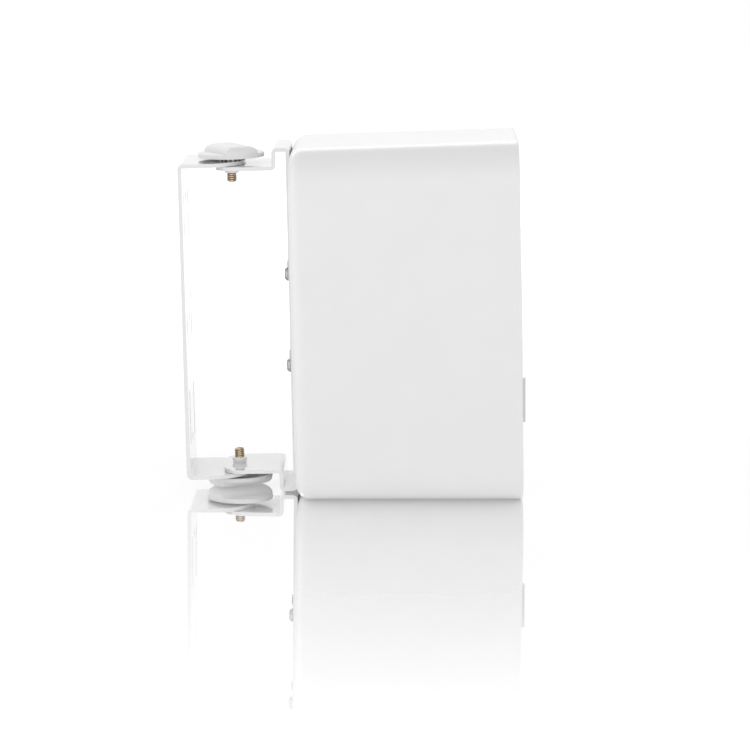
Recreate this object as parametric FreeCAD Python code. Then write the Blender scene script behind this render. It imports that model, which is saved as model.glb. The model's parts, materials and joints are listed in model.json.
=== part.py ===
import FreeCAD, Part
import math
import os

# Surface-mount speaker on a turning wall bracket, all sizes in millimetres and degrees.
# Origin: middle of the wall plate's back face. +X points from the wall to the listener, +Z is up.

# Moulded cabinet
CABINET_WIDTH = 138.0
CABINET_HEIGHT = 232.0
CABINET_DEPTH = 146.5
CORNER_RADIUS = 26.0
DRAFT_ANGLE = 0.9
REAR_EDGE_RADIUS = 9.0
RIM_ROUND = 1.6
WALL = 4.0
LEDGE_WIDTH = 7.0
LEDGE_THICKNESS = 5.0

# Folded brackets
SHEET = 2.5
FOLD_RADIUS = 0.8
WALL_PLATE_WIDTH = 60.0
STRAP_WIDTH = 54.0
STRAP_SETBACK = 1.2
JOGGLE_STEP = 9.2
WALL_TO_PIVOT = 33.0
PIVOT_TO_JOGGLE = 27.4
PIVOT_TO_STRAP = 36.5
ARM_OVERHANG = 9.5
WALL_ARM_CORNER_RADIUS = 28.0
STRAP_ARM_CORNER_RADIUS = 14.0
ARM_GAP = 0.2

# Fixing slots and holes in the wall plate
SLOT_WIDTH = 5.5
SLOT_LENGTH = 36.0
MIDDLE_SLOT_LENGTH = 31.0
SLOT_COLUMN_SPACING = 34.0
SLOT_ROW_SPACING = 64.0
WALL_HOLE_DIAMETER = 5.5
WALL_HOLE_SPACING = 80.0

# Pivots: press nut, toothed washer, knob and its screw
PIVOT_THREAD = 6.35
THREAD_PLAY = 0.05
PIVOT_HOLE_PLAY = 0.3
NUT_DIAMETER = 9.8
NUT_WAIST_DIAMETER = 8.4
NUT_HEIGHT = 3.8
NUT_NECK_DIAMETER = 7.6
NUT_FLARE = 2.2
NUT_ROUND = 1.0
PRESS_CLEARANCE = 0.05
SCREW_TAIL = 5.7
TIP_CHAMFER = 0.6
WASHER_DIAMETER = 19.0
WASHER_THICKNESS = 1.6
WASHER_TEETH = 20
WASHER_NOTCH_WIDTH = 1.1
WASHER_NOTCH_DEPTH = 2.2
KNOB_GAP = 0.1
KNOB_DIAMETER = 43.0
KNOB_FLANGE = 2.8
FLANGE_ROUND = 0.7
KNOB_HEIGHT = 7.7
KNOB_RIM = 2.6
KNOB_HUB = 21.0
KNOB_HOLLOW = 1.2
GRIP_WIDTH = 22.8
GRIP_ARCH_RUN = 8.0
GRIP_ARCH_DROP = 4.7
GRIP_INSET = 0.2
GRIP_ROUND = 1.0
TOP_GRIP_TURN = 27.5
BOTTOM_GRIP_TURN = 64.0
HEAD_ACROSS_FLATS = 10.0
HEAD_HEIGHT = 4.0

# Strap screws and their inserts in the cabinet's back
STRAP_SCREW_RISE = 60.0
STRAP_SCREW_SPREAD = 40.0
STRAP_THREAD = 5.0
STRAP_HEAD_DIAMETER = 9.0
STRAP_HEAD_HEIGHT = 2.6
STRAP_HEAD_ROUND = 0.9
HEAD_BEVEL = 0.5
INSERT_DIAMETER = 7.0
INSERT_LENGTH = 9.5
INSERT_FLOOR = 2.5
INSERT_SPARE = 0.5
INSERT_BOSS_WALL = 2.5

# Baffle, its gasket and screws
BAFFLE_SETBACK = 14.0
BAFFLE_THICKNESS = 6.0
BAFFLE_PLAY = 0.3
GASKET_THICKNESS = 1.0
BAFFLE_SCREW_INSET = 46.0
BAFFLE_THREAD = 3.2
BAFFLE_HEAD_DIAMETER = 5.2
BAFFLE_HEAD_HEIGHT = 1.8
BAFFLE_BOSS_RADIUS = 4.5
BAFFLE_BOSS_LENGTH = 12.0
PILOT_FLOOR = 1.0
PILOT_SPARE = 1.0
SCREW_MARGIN = 0.3

# Perforated grille and plain badge
GRILLE_SHEET = 1.0
GRILLE_PLAY = 0.6
CROWN_RISE = 2.0
CROWN_SAG_ACROSS = 2.5
CROWN_SAG_UP = 2.0
HOLE_PITCH = 15.0
HOLE_ACROSS_FLATS = 11.0
BADGE_HEIGHT = 28.0
BADGE_WIDTH = 9.0
BADGE_THICKNESS = 2.2
BADGE_ROUND = 2.0
BADGE_RISE = 67.4
BADGE_INSET = 11.0
BADGE_SEAT = 0.05

# Woofer, measured back from the baffle's front face
WOOFER_SPARE_SHARE = 0.36
WOOFER_FRAME_RADIUS = 54.0
WOOFER_FRAME_SHEET = 1.2
WOOFER_FLANGE = 10.0
WOOFER_HOLE_PLAY = 1.2
WOOFER_BASE_RADIUS = 32.2
WOOFER_BASKET_DEPTH = 29.2
WOOFER_WINDOWS = 4
WOOFER_WINDOW_ANGLE = 58.0
WOOFER_WINDOW_MARGIN = 5.0
SURROUND_ROLL = 6.6
CONE_DEPTH = 16.2
CONE_PAPER = 1.2
SURROUND_RUBBER = 0.7
SURROUND_LIP = 3.0
DUST_CAP_RADIUS = 16.0
DUST_CAP_RISE = 4.4
DUST_CAP_PAPER = 0.7
COIL_RADIUS = 12.9
COIL_FORMER = 0.4
COIL_WINDING = 0.5
COIL_LENGTH = 24.0
WINDING_LENGTH = 10.0
COIL_TAIL = 2.0
MAGNET_GAP = 0.4
POLE_GAP = 0.5
SPIDER_CLOTH = 0.6
SPIDER_WAVES = 3
SPIDER_WAVE_HEIGHT = 1.2
SPIDER_RIM = 2.5
TOP_PLATE_THICKNESS = 4.0
PLATE_RADIUS = 33.0
MAGNET_RADIUS = 35.0
MAGNET_BORE_RADIUS = 19.0
MAGNET_THICKNESS = 12.0
YOKE_THICKNESS = 5.0
POLE_VENT_RADIUS = 4.0
WOOFER_GASKET_WIDTH = 4.0
DRIVER_PLAY = 0.4
WOOFER_SCREWS = 4
WOOFER_THREAD = 3.2
WOOFER_HEAD_DIAMETER = 5.2
DRIVER_HEAD_HEIGHT = 1.6
DRIVER_SCREW_LENGTH = 11.0

# Tweeter
TWEETER_SPARE_SHARE = 0.44
TWEETER_RADIUS = 29.0
TWEETER_FLARE_RADIUS = 22.0
TWEETER_THROAT_RADIUS = 14.0
TWEETER_PLATE = 3.0
TWEETER_LIP = 0.6
TWEETER_DOME_RADIUS = 12.5
TWEETER_DOME_RISE = 4.6
TWEETER_DOME_FILM = 0.5
TWEETER_RING_RADIUS = 17.0
TWEETER_MOTOR_RADIUS = 18.0
TWEETER_MOTOR_DEPTH = 16.4
TWEETER_MOTOR_CHAMFER = 1.0
TWEETER_BOSS_RADIUS = 20.0
TWEETER_SCREWS = 3
TWEETER_THREAD = 2.9

# Crossover board and what stands on it
BOARD_WIDTH = 80.0
BOARD_HEIGHT = 44.0
BOARD_THICKNESS = 1.6
BOARD_DROP = 50.0
BOARD_HOLE_MARGIN = 4.0
BOARD_CORNER = 2.0
STANDOFF_RADIUS = 3.5
STANDOFF_HEIGHT = 8.0
BOARD_THREAD = 3.0
BOARD_SCREW_BITE = 6.0
SMALL_HEAD_DIAMETER = 5.4
SMALL_HEAD_HEIGHT = 1.8
INDUCTOR_RADIUS = 11.0
INDUCTOR_BORE_RADIUS = 5.0
INDUCTOR_HEIGHT = 13.0
INDUCTOR_SPACING = 44.0
CAPACITOR_RADIUS = 6.0
CAPACITOR_LENGTH = 22.0
CAPACITOR_SPACING = 26.0
RESISTOR_SIDE = 8.0
RESISTOR_LENGTH = 20.0
RESISTOR_CORNER = 1.0
COMPONENT_MARGIN = 1.5

# Terminal panel on the back
TERMINAL_Y = 42.5
TERMINAL_RISE = 71.0
PANEL_WIDTH = 30.0
PANEL_HEIGHT = 62.0
PANEL_THICKNESS = 2.5
PANEL_CORNER = 4.0
CUP_WIDTH = 24.0
CUP_HEIGHT = 42.0
CUP_DEPTH = 18.0
CUP_WALL = 2.0
CUP_PLAY = 0.5
PANEL_GASKET = 0.8
PANEL_SCREW_INSET = 5.0
PANEL_THREAD = 3.0
PANEL_BOSS_LENGTH = 9.0
BLOCK_WIDTH = 12.0
BLOCK_HEIGHT = 26.0
BLOCK_DEPTH = 10.0
WIRE_HOLE_RADIUS = 1.8
WIRE_SPACING = 12.0
BLOCK_CORNER = 1.0
BLOCK_FLOOR = 2.0
CLAMP_RADIUS = 2.2
CLAMP_OFFSET = 3.2
CLAMP_SINK = 1.0
CLAMP_SLOT = 0.8

# Leads and wadding
LEAD_RADIUS = 1.5
LEAD_EXIT = 14.0
LEAD_SLACK = 4.0
LEAD_BEND_SHARE = 0.45
LEAD_STANDOFF = 20.0
WADDING_THICKNESS = 24.0
WADDING_GAP = 0.3
WADDING_ROUND = 16.0
WADDING_SIDE_GAP = 8.0
WADDING_TOP_GAP = 4.0

# Places that follow from the sizes above
TINY = 1e-6
TOUCH = 0.01
OVERCUT = 1.0
DRAFT = math.tan(math.radians(DRAFT_ANGLE))
FOLD_OUTER = FOLD_RADIUS + SHEET
PIVOT_X = WALL_TO_PIVOT
STRAP_X = PIVOT_X + PIVOT_TO_STRAP
BACK_X = STRAP_X + SHEET
INSIDE_X = BACK_X + WALL
FRONT_X = BACK_X + CABINET_DEPTH
BAFFLE_X = FRONT_X - BAFFLE_SETBACK
BAFFLE_BACK_X = BAFFLE_X - BAFFLE_THICKNESS
LEDGE_X = BAFFLE_BACK_X - GASKET_THICKNESS
LEDGE_BACK_X = LEDGE_X - LEDGE_THICKNESS
CROWN_X = FRONT_X + CROWN_RISE
CABINET_TOP = CABINET_HEIGHT / 2
CABINET_BOTTOM = -CABINET_TOP
BAFFLE_SCREW_ROW = CABINET_TOP - BAFFLE_SCREW_INSET
BADGE_Y = BADGE_INSET - CABINET_WIDTH / 2
BADGE_Z = CABINET_BOTTOM + BADGE_RISE
DRIVER_SPARE = CABINET_HEIGHT - 2 * (WOOFER_FRAME_RADIUS + TWEETER_RADIUS)
WOOFER_Z = CABINET_BOTTOM + WOOFER_SPARE_SHARE * DRIVER_SPARE + WOOFER_FRAME_RADIUS
TWEETER_Z = CABINET_TOP - TWEETER_SPARE_SHARE * DRIVER_SPARE - TWEETER_RADIUS
BOARD_Z = CABINET_TOP - BOARD_DROP
TERMINAL_Z = CABINET_BOTTOM + TERMINAL_RISE
STRAP_TOP = CABINET_TOP - CABINET_DEPTH * DRAFT - STRAP_SETBACK
ARM_TOP = STRAP_TOP - JOGGLE_STEP
INNER_ARM_TOP = ARM_TOP - SHEET - ARM_GAP
KNOB_BASE = ARM_TOP + WASHER_THICKNESS + KNOB_GAP
NUT_END = INNER_ARM_TOP - SHEET - NUT_HEIGHT
BOARD_X = INSIDE_X + STANDOFF_HEIGHT
BOARD_FRONT_X = BOARD_X + BOARD_THICKNESS
WOOFER_RECESS = WOOFER_FRAME_SHEET + GASKET_THICKNESS
BASKET_BACK = -WOOFER_BASKET_DEPTH
MAGNET_FRONT = BASKET_BACK - TOP_PLATE_THICKNESS
YOKE_FRONT = MAGNET_FRONT - MAGNET_THICKNESS
YOKE_BACK = YOKE_FRONT - YOKE_THICKNESS
CONE_NECK_RADIUS = COIL_RADIUS + PRESS_CLEARANCE
WOOFER_MOUTH_RADIUS = WOOFER_FRAME_RADIUS - WOOFER_FLANGE
CONE_RADIUS = WOOFER_MOUTH_RADIUS - SURROUND_ROLL
WOOFER_HOLE_RADIUS = WOOFER_MOUTH_RADIUS + WOOFER_FRAME_SHEET + WOOFER_HOLE_PLAY
SURROUND_OUTER = WOOFER_MOUTH_RADIUS + SURROUND_LIP
SURROUND_INNER = CONE_RADIUS - SURROUND_LIP / 2
PANEL_BACK_X = BACK_X - PANEL_GASKET
CUP_FLOOR_X = PANEL_BACK_X - PANEL_THICKNESS + CUP_DEPTH
CLAMP_Y = TERMINAL_Y + CLAMP_OFFSET / 2

X_AXIS = FreeCAD.Vector(1, 0, 0)
Y_AXIS = FreeCAD.Vector(0, 1, 0)
Z_AXIS = FreeCAD.Vector(0, 0, 1)
ORIGIN = FreeCAD.Vector(0, 0, 0)


# Drawing helpers

def on_xy(z):
    return lambda p: FreeCAD.Vector(p.x, p.y, z)


def on_xz(y):
    return lambda p: FreeCAD.Vector(p.x, y, p.y)


def on_yz(x):
    return lambda p: FreeCAD.Vector(x, p.x, p.y)


def corner_arc(last, corner, following, radius):
    """Start, middle and end of the tangent arc that rounds one corner."""
    back = (last - corner).normalize()
    ahead = (following - corner).normalize()
    half = back.getAngle(ahead) / 2
    reach = radius / math.tan(half)
    middle = corner + (back + ahead).normalize() * (radius / math.sin(half) - radius)
    return corner + back * reach, middle, corner + ahead * reach


def rounded_wire(corners, place):
    """Closed wire through (u, v) or (u, v, radius) corners on the plane that place gives."""
    points = [FreeCAD.Vector(c[0], c[1], 0) for c in corners]
    spans = []
    for i, corner in enumerate(corners):
        if len(corner) == 2:
            spans.append((points[i], None, points[i]))
        else:
            following = points[(i + 1) % len(points)]
            spans.append(corner_arc(points[i - 1], points[i], following, corner[2]))
    edges = []
    for i, (start, middle, end) in enumerate(spans):
        if middle:
            edges.append(Part.Arc(place(start), place(middle), place(end)).toShape())
        following = spans[(i + 1) % len(spans)][0]
        if end.distanceToPoint(following) > TINY:
            edges.append(Part.makeLine(place(end), place(following)))
    return Part.Wire(edges)


def rectangle(width, height, radius, u=0, v=0):
    """Corners of a rounded rectangle about a centre."""
    sides = [(-1, -1), (1, -1), (1, 1), (-1, 1)]
    return [(u + a * width / 2, v + b * height / 2, radius) for a, b in sides]


def prism_x(corners, x_from, x_to):
    face = Part.Face(rounded_wire(corners, on_yz(x_from)))
    return face.extrude(X_AXIS * (x_to - x_from))


def prism_z(corners, z_from, z_to):
    face = Part.Face(rounded_wire(corners, on_xy(z_from)))
    return face.extrude(Z_AXIS * (z_to - z_from))


def rod_x(radius, x_from, x_to, y=0, z=0):
    return Part.makeCylinder(radius, x_to - x_from, FreeCAD.Vector(x_from, y, z), X_AXIS)


def rod_z(radius, z_from, z_to, x=PIVOT_X, y=0):
    return Part.makeCylinder(radius, z_to - z_from, FreeCAD.Vector(x, y, z_from), Z_AXIS)


def turned_x(profile, z, x=BAFFLE_X):
    """Body turned about a line along X from a profile of (x, radius) corners."""
    wire = rounded_wire(profile, lambda p: FreeCAD.Vector(x + p.x, 0, z + p.y))
    return Part.Face(wire).revolve(FreeCAD.Vector(0, 0, z), X_AXIS, 360)


def dome_x(edge_x, edge_radius, rise, thickness, z):
    """Thin spherical cap that bulges along +X."""
    sphere = (edge_radius ** 2 + rise ** 2) / (2 * rise)
    centre = edge_x + rise - sphere
    inner_edge = math.sqrt((sphere - thickness) ** 2 - (edge_x - centre) ** 2)

    def point(radius, angle):
        return FreeCAD.Vector(centre + radius * math.cos(angle), 0, z + radius * math.sin(angle))

    def arc(radius, edge):
        angle = math.asin(edge / radius)
        return Part.Arc(point(radius, angle), point(radius, angle / 2), point(radius, 0)).toShape()

    outer = arc(sphere, edge_radius)
    inner = arc(sphere - thickness, inner_edge)
    ends = [
        Part.makeLine(outer.lastVertex().Point, inner.lastVertex().Point),
        Part.makeLine(inner.firstVertex().Point, outer.firstVertex().Point),
    ]
    wire = Part.Wire(Part.__sortEdges__([outer, inner] + ends))
    return Part.Face(wire).revolve(FreeCAD.Vector(0, 0, z), X_AXIS, 360)


def pan_screw(thread, length, head_diameter, head_height):
    """Screw along +X whose bevelled head stands on the plane x = 0, on the -X side."""
    bevel = head_height * HEAD_BEVEL
    profile = [
        (length, 0), (length, thread / 2), (0, thread / 2), (0, head_diameter / 2),
        (bevel - head_height, head_diameter / 2), (-head_height, head_diameter / 2 - bevel),
        (-head_height, 0),
    ]
    return turned_x(profile, 0, 0)


def moved(shape, x, y, z):
    copy = shape.copy()
    copy.translate(FreeCAD.Vector(x, y, z))
    return copy


def facing_back(shape):
    """The shape turned half round, so that what pointed along +X points along -X."""
    copy = shape.copy()
    copy.rotate(ORIGIN, Z_AXIS, 180)
    return copy


def below(shape):
    """The shape's twin at the lower pivot, turned half round about the X axis."""
    copy = shape.copy()
    copy.rotate(ORIGIN, X_AXIS, 180)
    return copy


def group(shapes):
    return Part.makeCompound(shapes)


def edges_at_x(solid, x):
    return [e for e in solid.Edges if abs(e.BoundBox.XMin - x) < TOUCH and abs(e.BoundBox.XMax - x) < TOUCH]


# Brackets

def folded_sheet(profile, plan, width):
    """Sheet bent to a side profile, with its outline trimmed to a plan."""
    side = Part.Face(rounded_wire(profile, on_xz(-width / 2)))
    blank = side.extrude(Y_AXIS * width)
    box = blank.BoundBox
    return blank.common(prism_z(plan, box.ZMin - OVERCUT, box.ZMax + OVERCUT))


def wall_bracket():
    end = PIVOT_X + ARM_OVERHANG
    inner = ARM_TOP - SHEET
    half = WALL_PLATE_WIDTH / 2
    profile = [
        (end, ARM_TOP), (0, ARM_TOP, FOLD_OUTER), (0, -ARM_TOP, FOLD_OUTER), (end, -ARM_TOP),
        (end, -inner), (SHEET, -inner, FOLD_RADIUS), (SHEET, inner, FOLD_RADIUS), (end, inner),
    ]
    plan = [
        (-OVERCUT, -half), (end, -half, WALL_ARM_CORNER_RADIUS),
        (end, half, WALL_ARM_CORNER_RADIUS), (-OVERCUT, half),
    ]
    bracket = folded_sheet(profile, plan, WALL_PLATE_WIDTH)
    rows = [(-SLOT_ROW_SPACING, SLOT_LENGTH), (0, MIDDLE_SLOT_LENGTH), (SLOT_ROW_SPACING, SLOT_LENGTH)]
    cuts = [rod_z(PIVOT_THREAD / 2 + PIVOT_HOLE_PLAY, -ARM_TOP - OVERCUT, ARM_TOP + OVERCUT)]
    for z, length in rows:
        for y in (-SLOT_COLUMN_SPACING / 2, SLOT_COLUMN_SPACING / 2):
            outline = rectangle(SLOT_WIDTH, length, SLOT_WIDTH / 2, y, z)
            cuts.append(prism_x(outline, -OVERCUT, SHEET + OVERCUT))
    for z in (-WALL_HOLE_SPACING, 0, WALL_HOLE_SPACING):
        cuts.append(rod_x(WALL_HOLE_DIAMETER / 2, -OVERCUT, SHEET + OVERCUT, 0, z))
    return bracket.cut(cuts)


def strap_screw_places():
    y = STRAP_SCREW_SPREAD / 2
    z = STRAP_SCREW_RISE / 2
    return [(a * y, b * z) for a in (-1, 1) for b in (-1, 1)]


def speaker_bracket():
    end = PIVOT_X - ARM_OVERHANG
    joggle = PIVOT_X + PIVOT_TO_JOGGLE
    half = STRAP_WIDTH / 2
    upper = [
        (end, INNER_ARM_TOP), (joggle, INNER_ARM_TOP, FOLD_RADIUS),
        (joggle, STRAP_TOP, FOLD_OUTER), (BACK_X, STRAP_TOP, FOLD_OUTER),
    ]
    inside = [
        (STRAP_X, STRAP_TOP - SHEET, FOLD_RADIUS), (joggle + SHEET, STRAP_TOP - SHEET, FOLD_RADIUS),
        (joggle + SHEET, INNER_ARM_TOP - SHEET, FOLD_OUTER), (end, INNER_ARM_TOP - SHEET),
    ]
    lower = [(x, -z, *rest) for x, z, *rest in reversed(upper)]
    lower_inside = [(x, -z, *rest) for x, z, *rest in reversed(inside)]
    plan = [
        (end, -half, STRAP_ARM_CORNER_RADIUS), (BACK_X + OVERCUT, -half),
        (BACK_X + OVERCUT, half), (end, half, STRAP_ARM_CORNER_RADIUS),
    ]
    bracket = folded_sheet(upper + lower + lower_inside + inside, plan, STRAP_WIDTH)
    nut_hole = NUT_NECK_DIAMETER / 2 + PRESS_CLEARANCE
    cuts = [rod_z(nut_hole, -INNER_ARM_TOP - OVERCUT, INNER_ARM_TOP + OVERCUT)]
    for y, z in strap_screw_places():
        cuts.append(rod_x(STRAP_THREAD / 2 + PIVOT_HOLE_PLAY, STRAP_X - OVERCUT, BACK_X + OVERCUT, y, z))
    return bracket.cut(cuts)


# Pivot hardware, made at the top pivot

def pivot_nut():
    """Flared press nut: a neck in the arm's hole, a waist on the sheet and a wide rounded end."""
    seat = INNER_ARM_TOP - SHEET
    bore = PIVOT_THREAD / 2 + THREAD_PLAY
    neck = NUT_NECK_DIAMETER / 2
    profile = [
        (bore, INNER_ARM_TOP), (neck, INNER_ARM_TOP), (neck, seat), (NUT_WAIST_DIAMETER / 2, seat),
        (NUT_DIAMETER / 2, seat - NUT_FLARE), (NUT_DIAMETER / 2, NUT_END, NUT_ROUND),
        (bore, NUT_END),
    ]
    wire = rounded_wire(profile, lambda p: FreeCAD.Vector(PIVOT_X + p.x, 0, p.y))
    return Part.Face(wire).revolve(FreeCAD.Vector(PIVOT_X, 0, 0), Z_AXIS, 360)


def lock_washer():
    ring = rod_z(WASHER_DIAMETER / 2, ARM_TOP, ARM_TOP + WASHER_THICKNESS)
    cuts = [rod_z(PIVOT_THREAD / 2 + PIVOT_HOLE_PLAY, ARM_TOP - OVERCUT, KNOB_BASE)]
    notch_centre = PIVOT_X + WASHER_DIAMETER / 2
    notch = prism_z(
        [(notch_centre + OVERCUT, -WASHER_NOTCH_WIDTH), (notch_centre + OVERCUT, WASHER_NOTCH_WIDTH),
         (notch_centre - WASHER_NOTCH_DEPTH, WASHER_NOTCH_WIDTH / 4),
         (notch_centre - WASHER_NOTCH_DEPTH, -WASHER_NOTCH_WIDTH / 4)],
        ARM_TOP - OVERCUT, KNOB_BASE)
    for i in range(WASHER_TEETH):
        tooth_gap = notch.copy()
        tooth_gap.rotate(FreeCAD.Vector(PIVOT_X, 0, 0), Z_AXIS, i * 360 / WASHER_TEETH)
        cuts.append(tooth_gap)
    return ring.cut(cuts)


def hexagon(across_flats, u, v):
    radius = across_flats / math.sqrt(3)
    angles = [math.radians(60 * i) for i in range(6)]
    return [(u + radius * math.cos(a), v + radius * math.sin(a)) for a in angles]


def grip_bar():
    """Bar across the knob, cut from a disc whose outer edge is arched down to the flange."""
    top = KNOB_BASE + KNOB_HEIGHT
    radius = KNOB_DIAMETER / 2 - GRIP_INSET
    arch = (GRIP_ARCH_RUN ** 2 + GRIP_ARCH_DROP ** 2) / (2 * GRIP_ARCH_DROP)
    half = math.asin(GRIP_ARCH_RUN / arch) / 2
    inner = radius - GRIP_ARCH_RUN
    start = FreeCAD.Vector(PIVOT_X + radius, 0, top - GRIP_ARCH_DROP)
    middle = FreeCAD.Vector(PIVOT_X + inner + arch * math.sin(half), 0, top - arch + arch * math.cos(half))
    end = FreeCAD.Vector(PIVOT_X + inner, 0, top)
    foot = FreeCAD.Vector(PIVOT_X + radius, 0, KNOB_BASE)
    axis_top = FreeCAD.Vector(PIVOT_X, 0, top)
    axis_foot = FreeCAD.Vector(PIVOT_X, 0, KNOB_BASE)
    sides = Part.makePolygon([end, axis_top, axis_foot, foot, start]).Edges
    face = Part.Face(Part.Wire([Part.Arc(start, middle, end).toShape()] + sides))
    disc = face.revolve(axis_foot, Z_AXIS, 360)
    low = KNOB_BASE + KNOB_FLANGE / 2
    left = PIVOT_X - GRIP_WIDTH / 2
    right = PIVOT_X + GRIP_WIDTH / 2
    section = [(left, low), (right, low), (right, top, GRIP_ROUND), (left, top, GRIP_ROUND)]
    slab = Part.Face(rounded_wire(section, on_xz(-radius - OVERCUT))).extrude(Y_AXIS * 2 * (radius + OVERCUT))
    return disc.common(slab)


def knob(turn):
    flange = rod_z(KNOB_DIAMETER / 2, KNOB_BASE, KNOB_BASE + KNOB_FLANGE)
    rims = [e for e in flange.Edges if e.BoundBox.ZMin > KNOB_BASE + KNOB_FLANGE - TOUCH]
    flange = flange.makeFillet(FLANGE_ROUND, rims)
    body = flange.fuse(grip_bar())
    pocket = prism_z(
        hexagon(HEAD_ACROSS_FLATS + 2 * PRESS_CLEARANCE, PIVOT_X, 0),
        KNOB_BASE - OVERCUT, KNOB_BASE + HEAD_HEIGHT + PRESS_CLEARANCE)
    hollow = rod_z(KNOB_DIAMETER / 2 - KNOB_RIM, KNOB_BASE - OVERCUT, KNOB_BASE + KNOB_HOLLOW)
    hub = rod_z(KNOB_HUB / 2, KNOB_BASE - OVERCUT, KNOB_BASE + KNOB_HOLLOW)
    body = body.cut([pocket, hollow.cut(hub)])
    body.rotate(FreeCAD.Vector(PIVOT_X, 0, 0), Z_AXIS, turn)
    return body


def knob_screw(turn):
    head = prism_z(hexagon(HEAD_ACROSS_FLATS, PIVOT_X, 0), KNOB_BASE, KNOB_BASE + HEAD_HEIGHT)
    shank = rod_z(PIVOT_THREAD / 2, NUT_END - SCREW_TAIL, KNOB_BASE)
    tips = [e for e in shank.Edges if e.BoundBox.ZMax < NUT_END - SCREW_TAIL + TOUCH]
    screw = head.fuse(shank.makeChamfer(TIP_CHAMFER, tips))
    screw.rotate(FreeCAD.Vector(PIVOT_X, 0, 0), Z_AXIS, turn)
    return screw


# Cabinet, baffle and grille

def cabinet_half(x, inset):
    """Half width and half height of the drafted cabinet at a depth, moved in by an inset."""
    shrink = (FRONT_X - x) * DRAFT + inset
    return CABINET_WIDTH / 2 - shrink, CABINET_HEIGHT / 2 - shrink, CORNER_RADIUS - shrink


def tapered_block(x_from, x_to, inset):
    outlines = []
    for x in (x_from, x_to):
        half_width, half_height, radius = cabinet_half(x, inset)
        outlines.append(rounded_wire(rectangle(2 * half_width, 2 * half_height, radius), on_yz(x)))
    return Part.makeLoft(outlines, True, True)


def ring_block(x_from, x_to, outer_inset, inner_inset):
    opening = tapered_block(x_from - OVERCUT, x_to + OVERCUT, inner_inset)
    return tapered_block(x_from, x_to, outer_inset).cut(opening)


def baffle_screw_places():
    half_width = cabinet_half(BAFFLE_X, WALL + GRILLE_PLAY + GRILLE_SHEET)[0]
    y = half_width - BAFFLE_HEAD_DIAMETER / 2 - SCREW_MARGIN
    return [(side * y, z) for side in (-1, 1) for z in (-BAFFLE_SCREW_ROW, 0, BAFFLE_SCREW_ROW)]


def board_screw_places():
    y = BOARD_WIDTH / 2 - BOARD_HOLE_MARGIN
    z = BOARD_HEIGHT / 2 - BOARD_HOLE_MARGIN
    return [(a * y, BOARD_Z + b * z) for a in (-1, 1) for b in (-1, 1)]


def panel_screw_places():
    z = PANEL_HEIGHT / 2 - PANEL_SCREW_INSET
    return [(TERMINAL_Y, TERMINAL_Z + side * z) for side in (-1, 1)]


def cabinet_shell():
    outer = tapered_block(BACK_X, FRONT_X, 0)
    outer = outer.makeFillet(REAR_EDGE_RADIUS, edges_at_x(outer, BACK_X))
    outer = outer.makeFillet(RIM_ROUND, edges_at_x(outer, FRONT_X))
    chamber = tapered_block(INSIDE_X, LEDGE_BACK_X, WALL)
    chamber = chamber.makeFillet(max(REAR_EDGE_RADIUS - WALL, 1), edges_at_x(chamber, INSIDE_X))
    throat = tapered_block(LEDGE_BACK_X - OVERCUT, LEDGE_X + OVERCUT, WALL + LEDGE_WIDTH)
    mouth = tapered_block(LEDGE_X, FRONT_X + OVERCUT, WALL)
    shell = outer.cut([chamber, throat, mouth])
    overlap = WALL / 2
    insert_end = BACK_X + INSERT_LENGTH + INSERT_FLOOR
    bosses = []
    holes = []
    for y, z in strap_screw_places():
        boss_radius = INSERT_DIAMETER / 2 + INSERT_BOSS_WALL
        bosses.append(rod_x(boss_radius, INSIDE_X - overlap, insert_end, y, z))
        bore = INSERT_DIAMETER / 2 + PRESS_CLEARANCE
        holes.append(rod_x(bore, BACK_X - OVERCUT, BACK_X + INSERT_LENGTH, y, z))
    for y, z in baffle_screw_places():
        bosses.append(rod_x(BAFFLE_BOSS_RADIUS, LEDGE_X - BAFFLE_BOSS_LENGTH, LEDGE_BACK_X + OVERCUT, y, z))
        pilot_end = LEDGE_X - BAFFLE_BOSS_LENGTH + PILOT_FLOOR
        holes.append(rod_x(BAFFLE_THREAD / 2 + PRESS_CLEARANCE, pilot_end, LEDGE_X + OVERCUT, y, z))
    for y, z in board_screw_places():
        bosses.append(rod_x(STANDOFF_RADIUS, INSIDE_X - overlap, BOARD_X, y, z))
        holes.append(rod_x(BOARD_THREAD / 2 + PRESS_CLEARANCE, INSIDE_X, BOARD_X + OVERCUT, y, z))
    for y, z in panel_screw_places():
        bosses.append(rod_x(STANDOFF_RADIUS, INSIDE_X - overlap, BACK_X + PANEL_BOSS_LENGTH, y, z))
        pilot_end = BACK_X + PANEL_BOSS_LENGTH - PILOT_FLOOR
        holes.append(rod_x(PANEL_THREAD / 2 + PRESS_CLEARANCE, BACK_X - OVERCUT, pilot_end, y, z))
    cup_opening = panel_outline(CUP_WIDTH, CUP_HEIGHT, -CUP_PLAY)
    holes.append(prism_x(cup_opening, BACK_X - OVERCUT, INSIDE_X + OVERCUT))
    return shell.fuse(bosses).removeSplitter().cut(holes)


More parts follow.
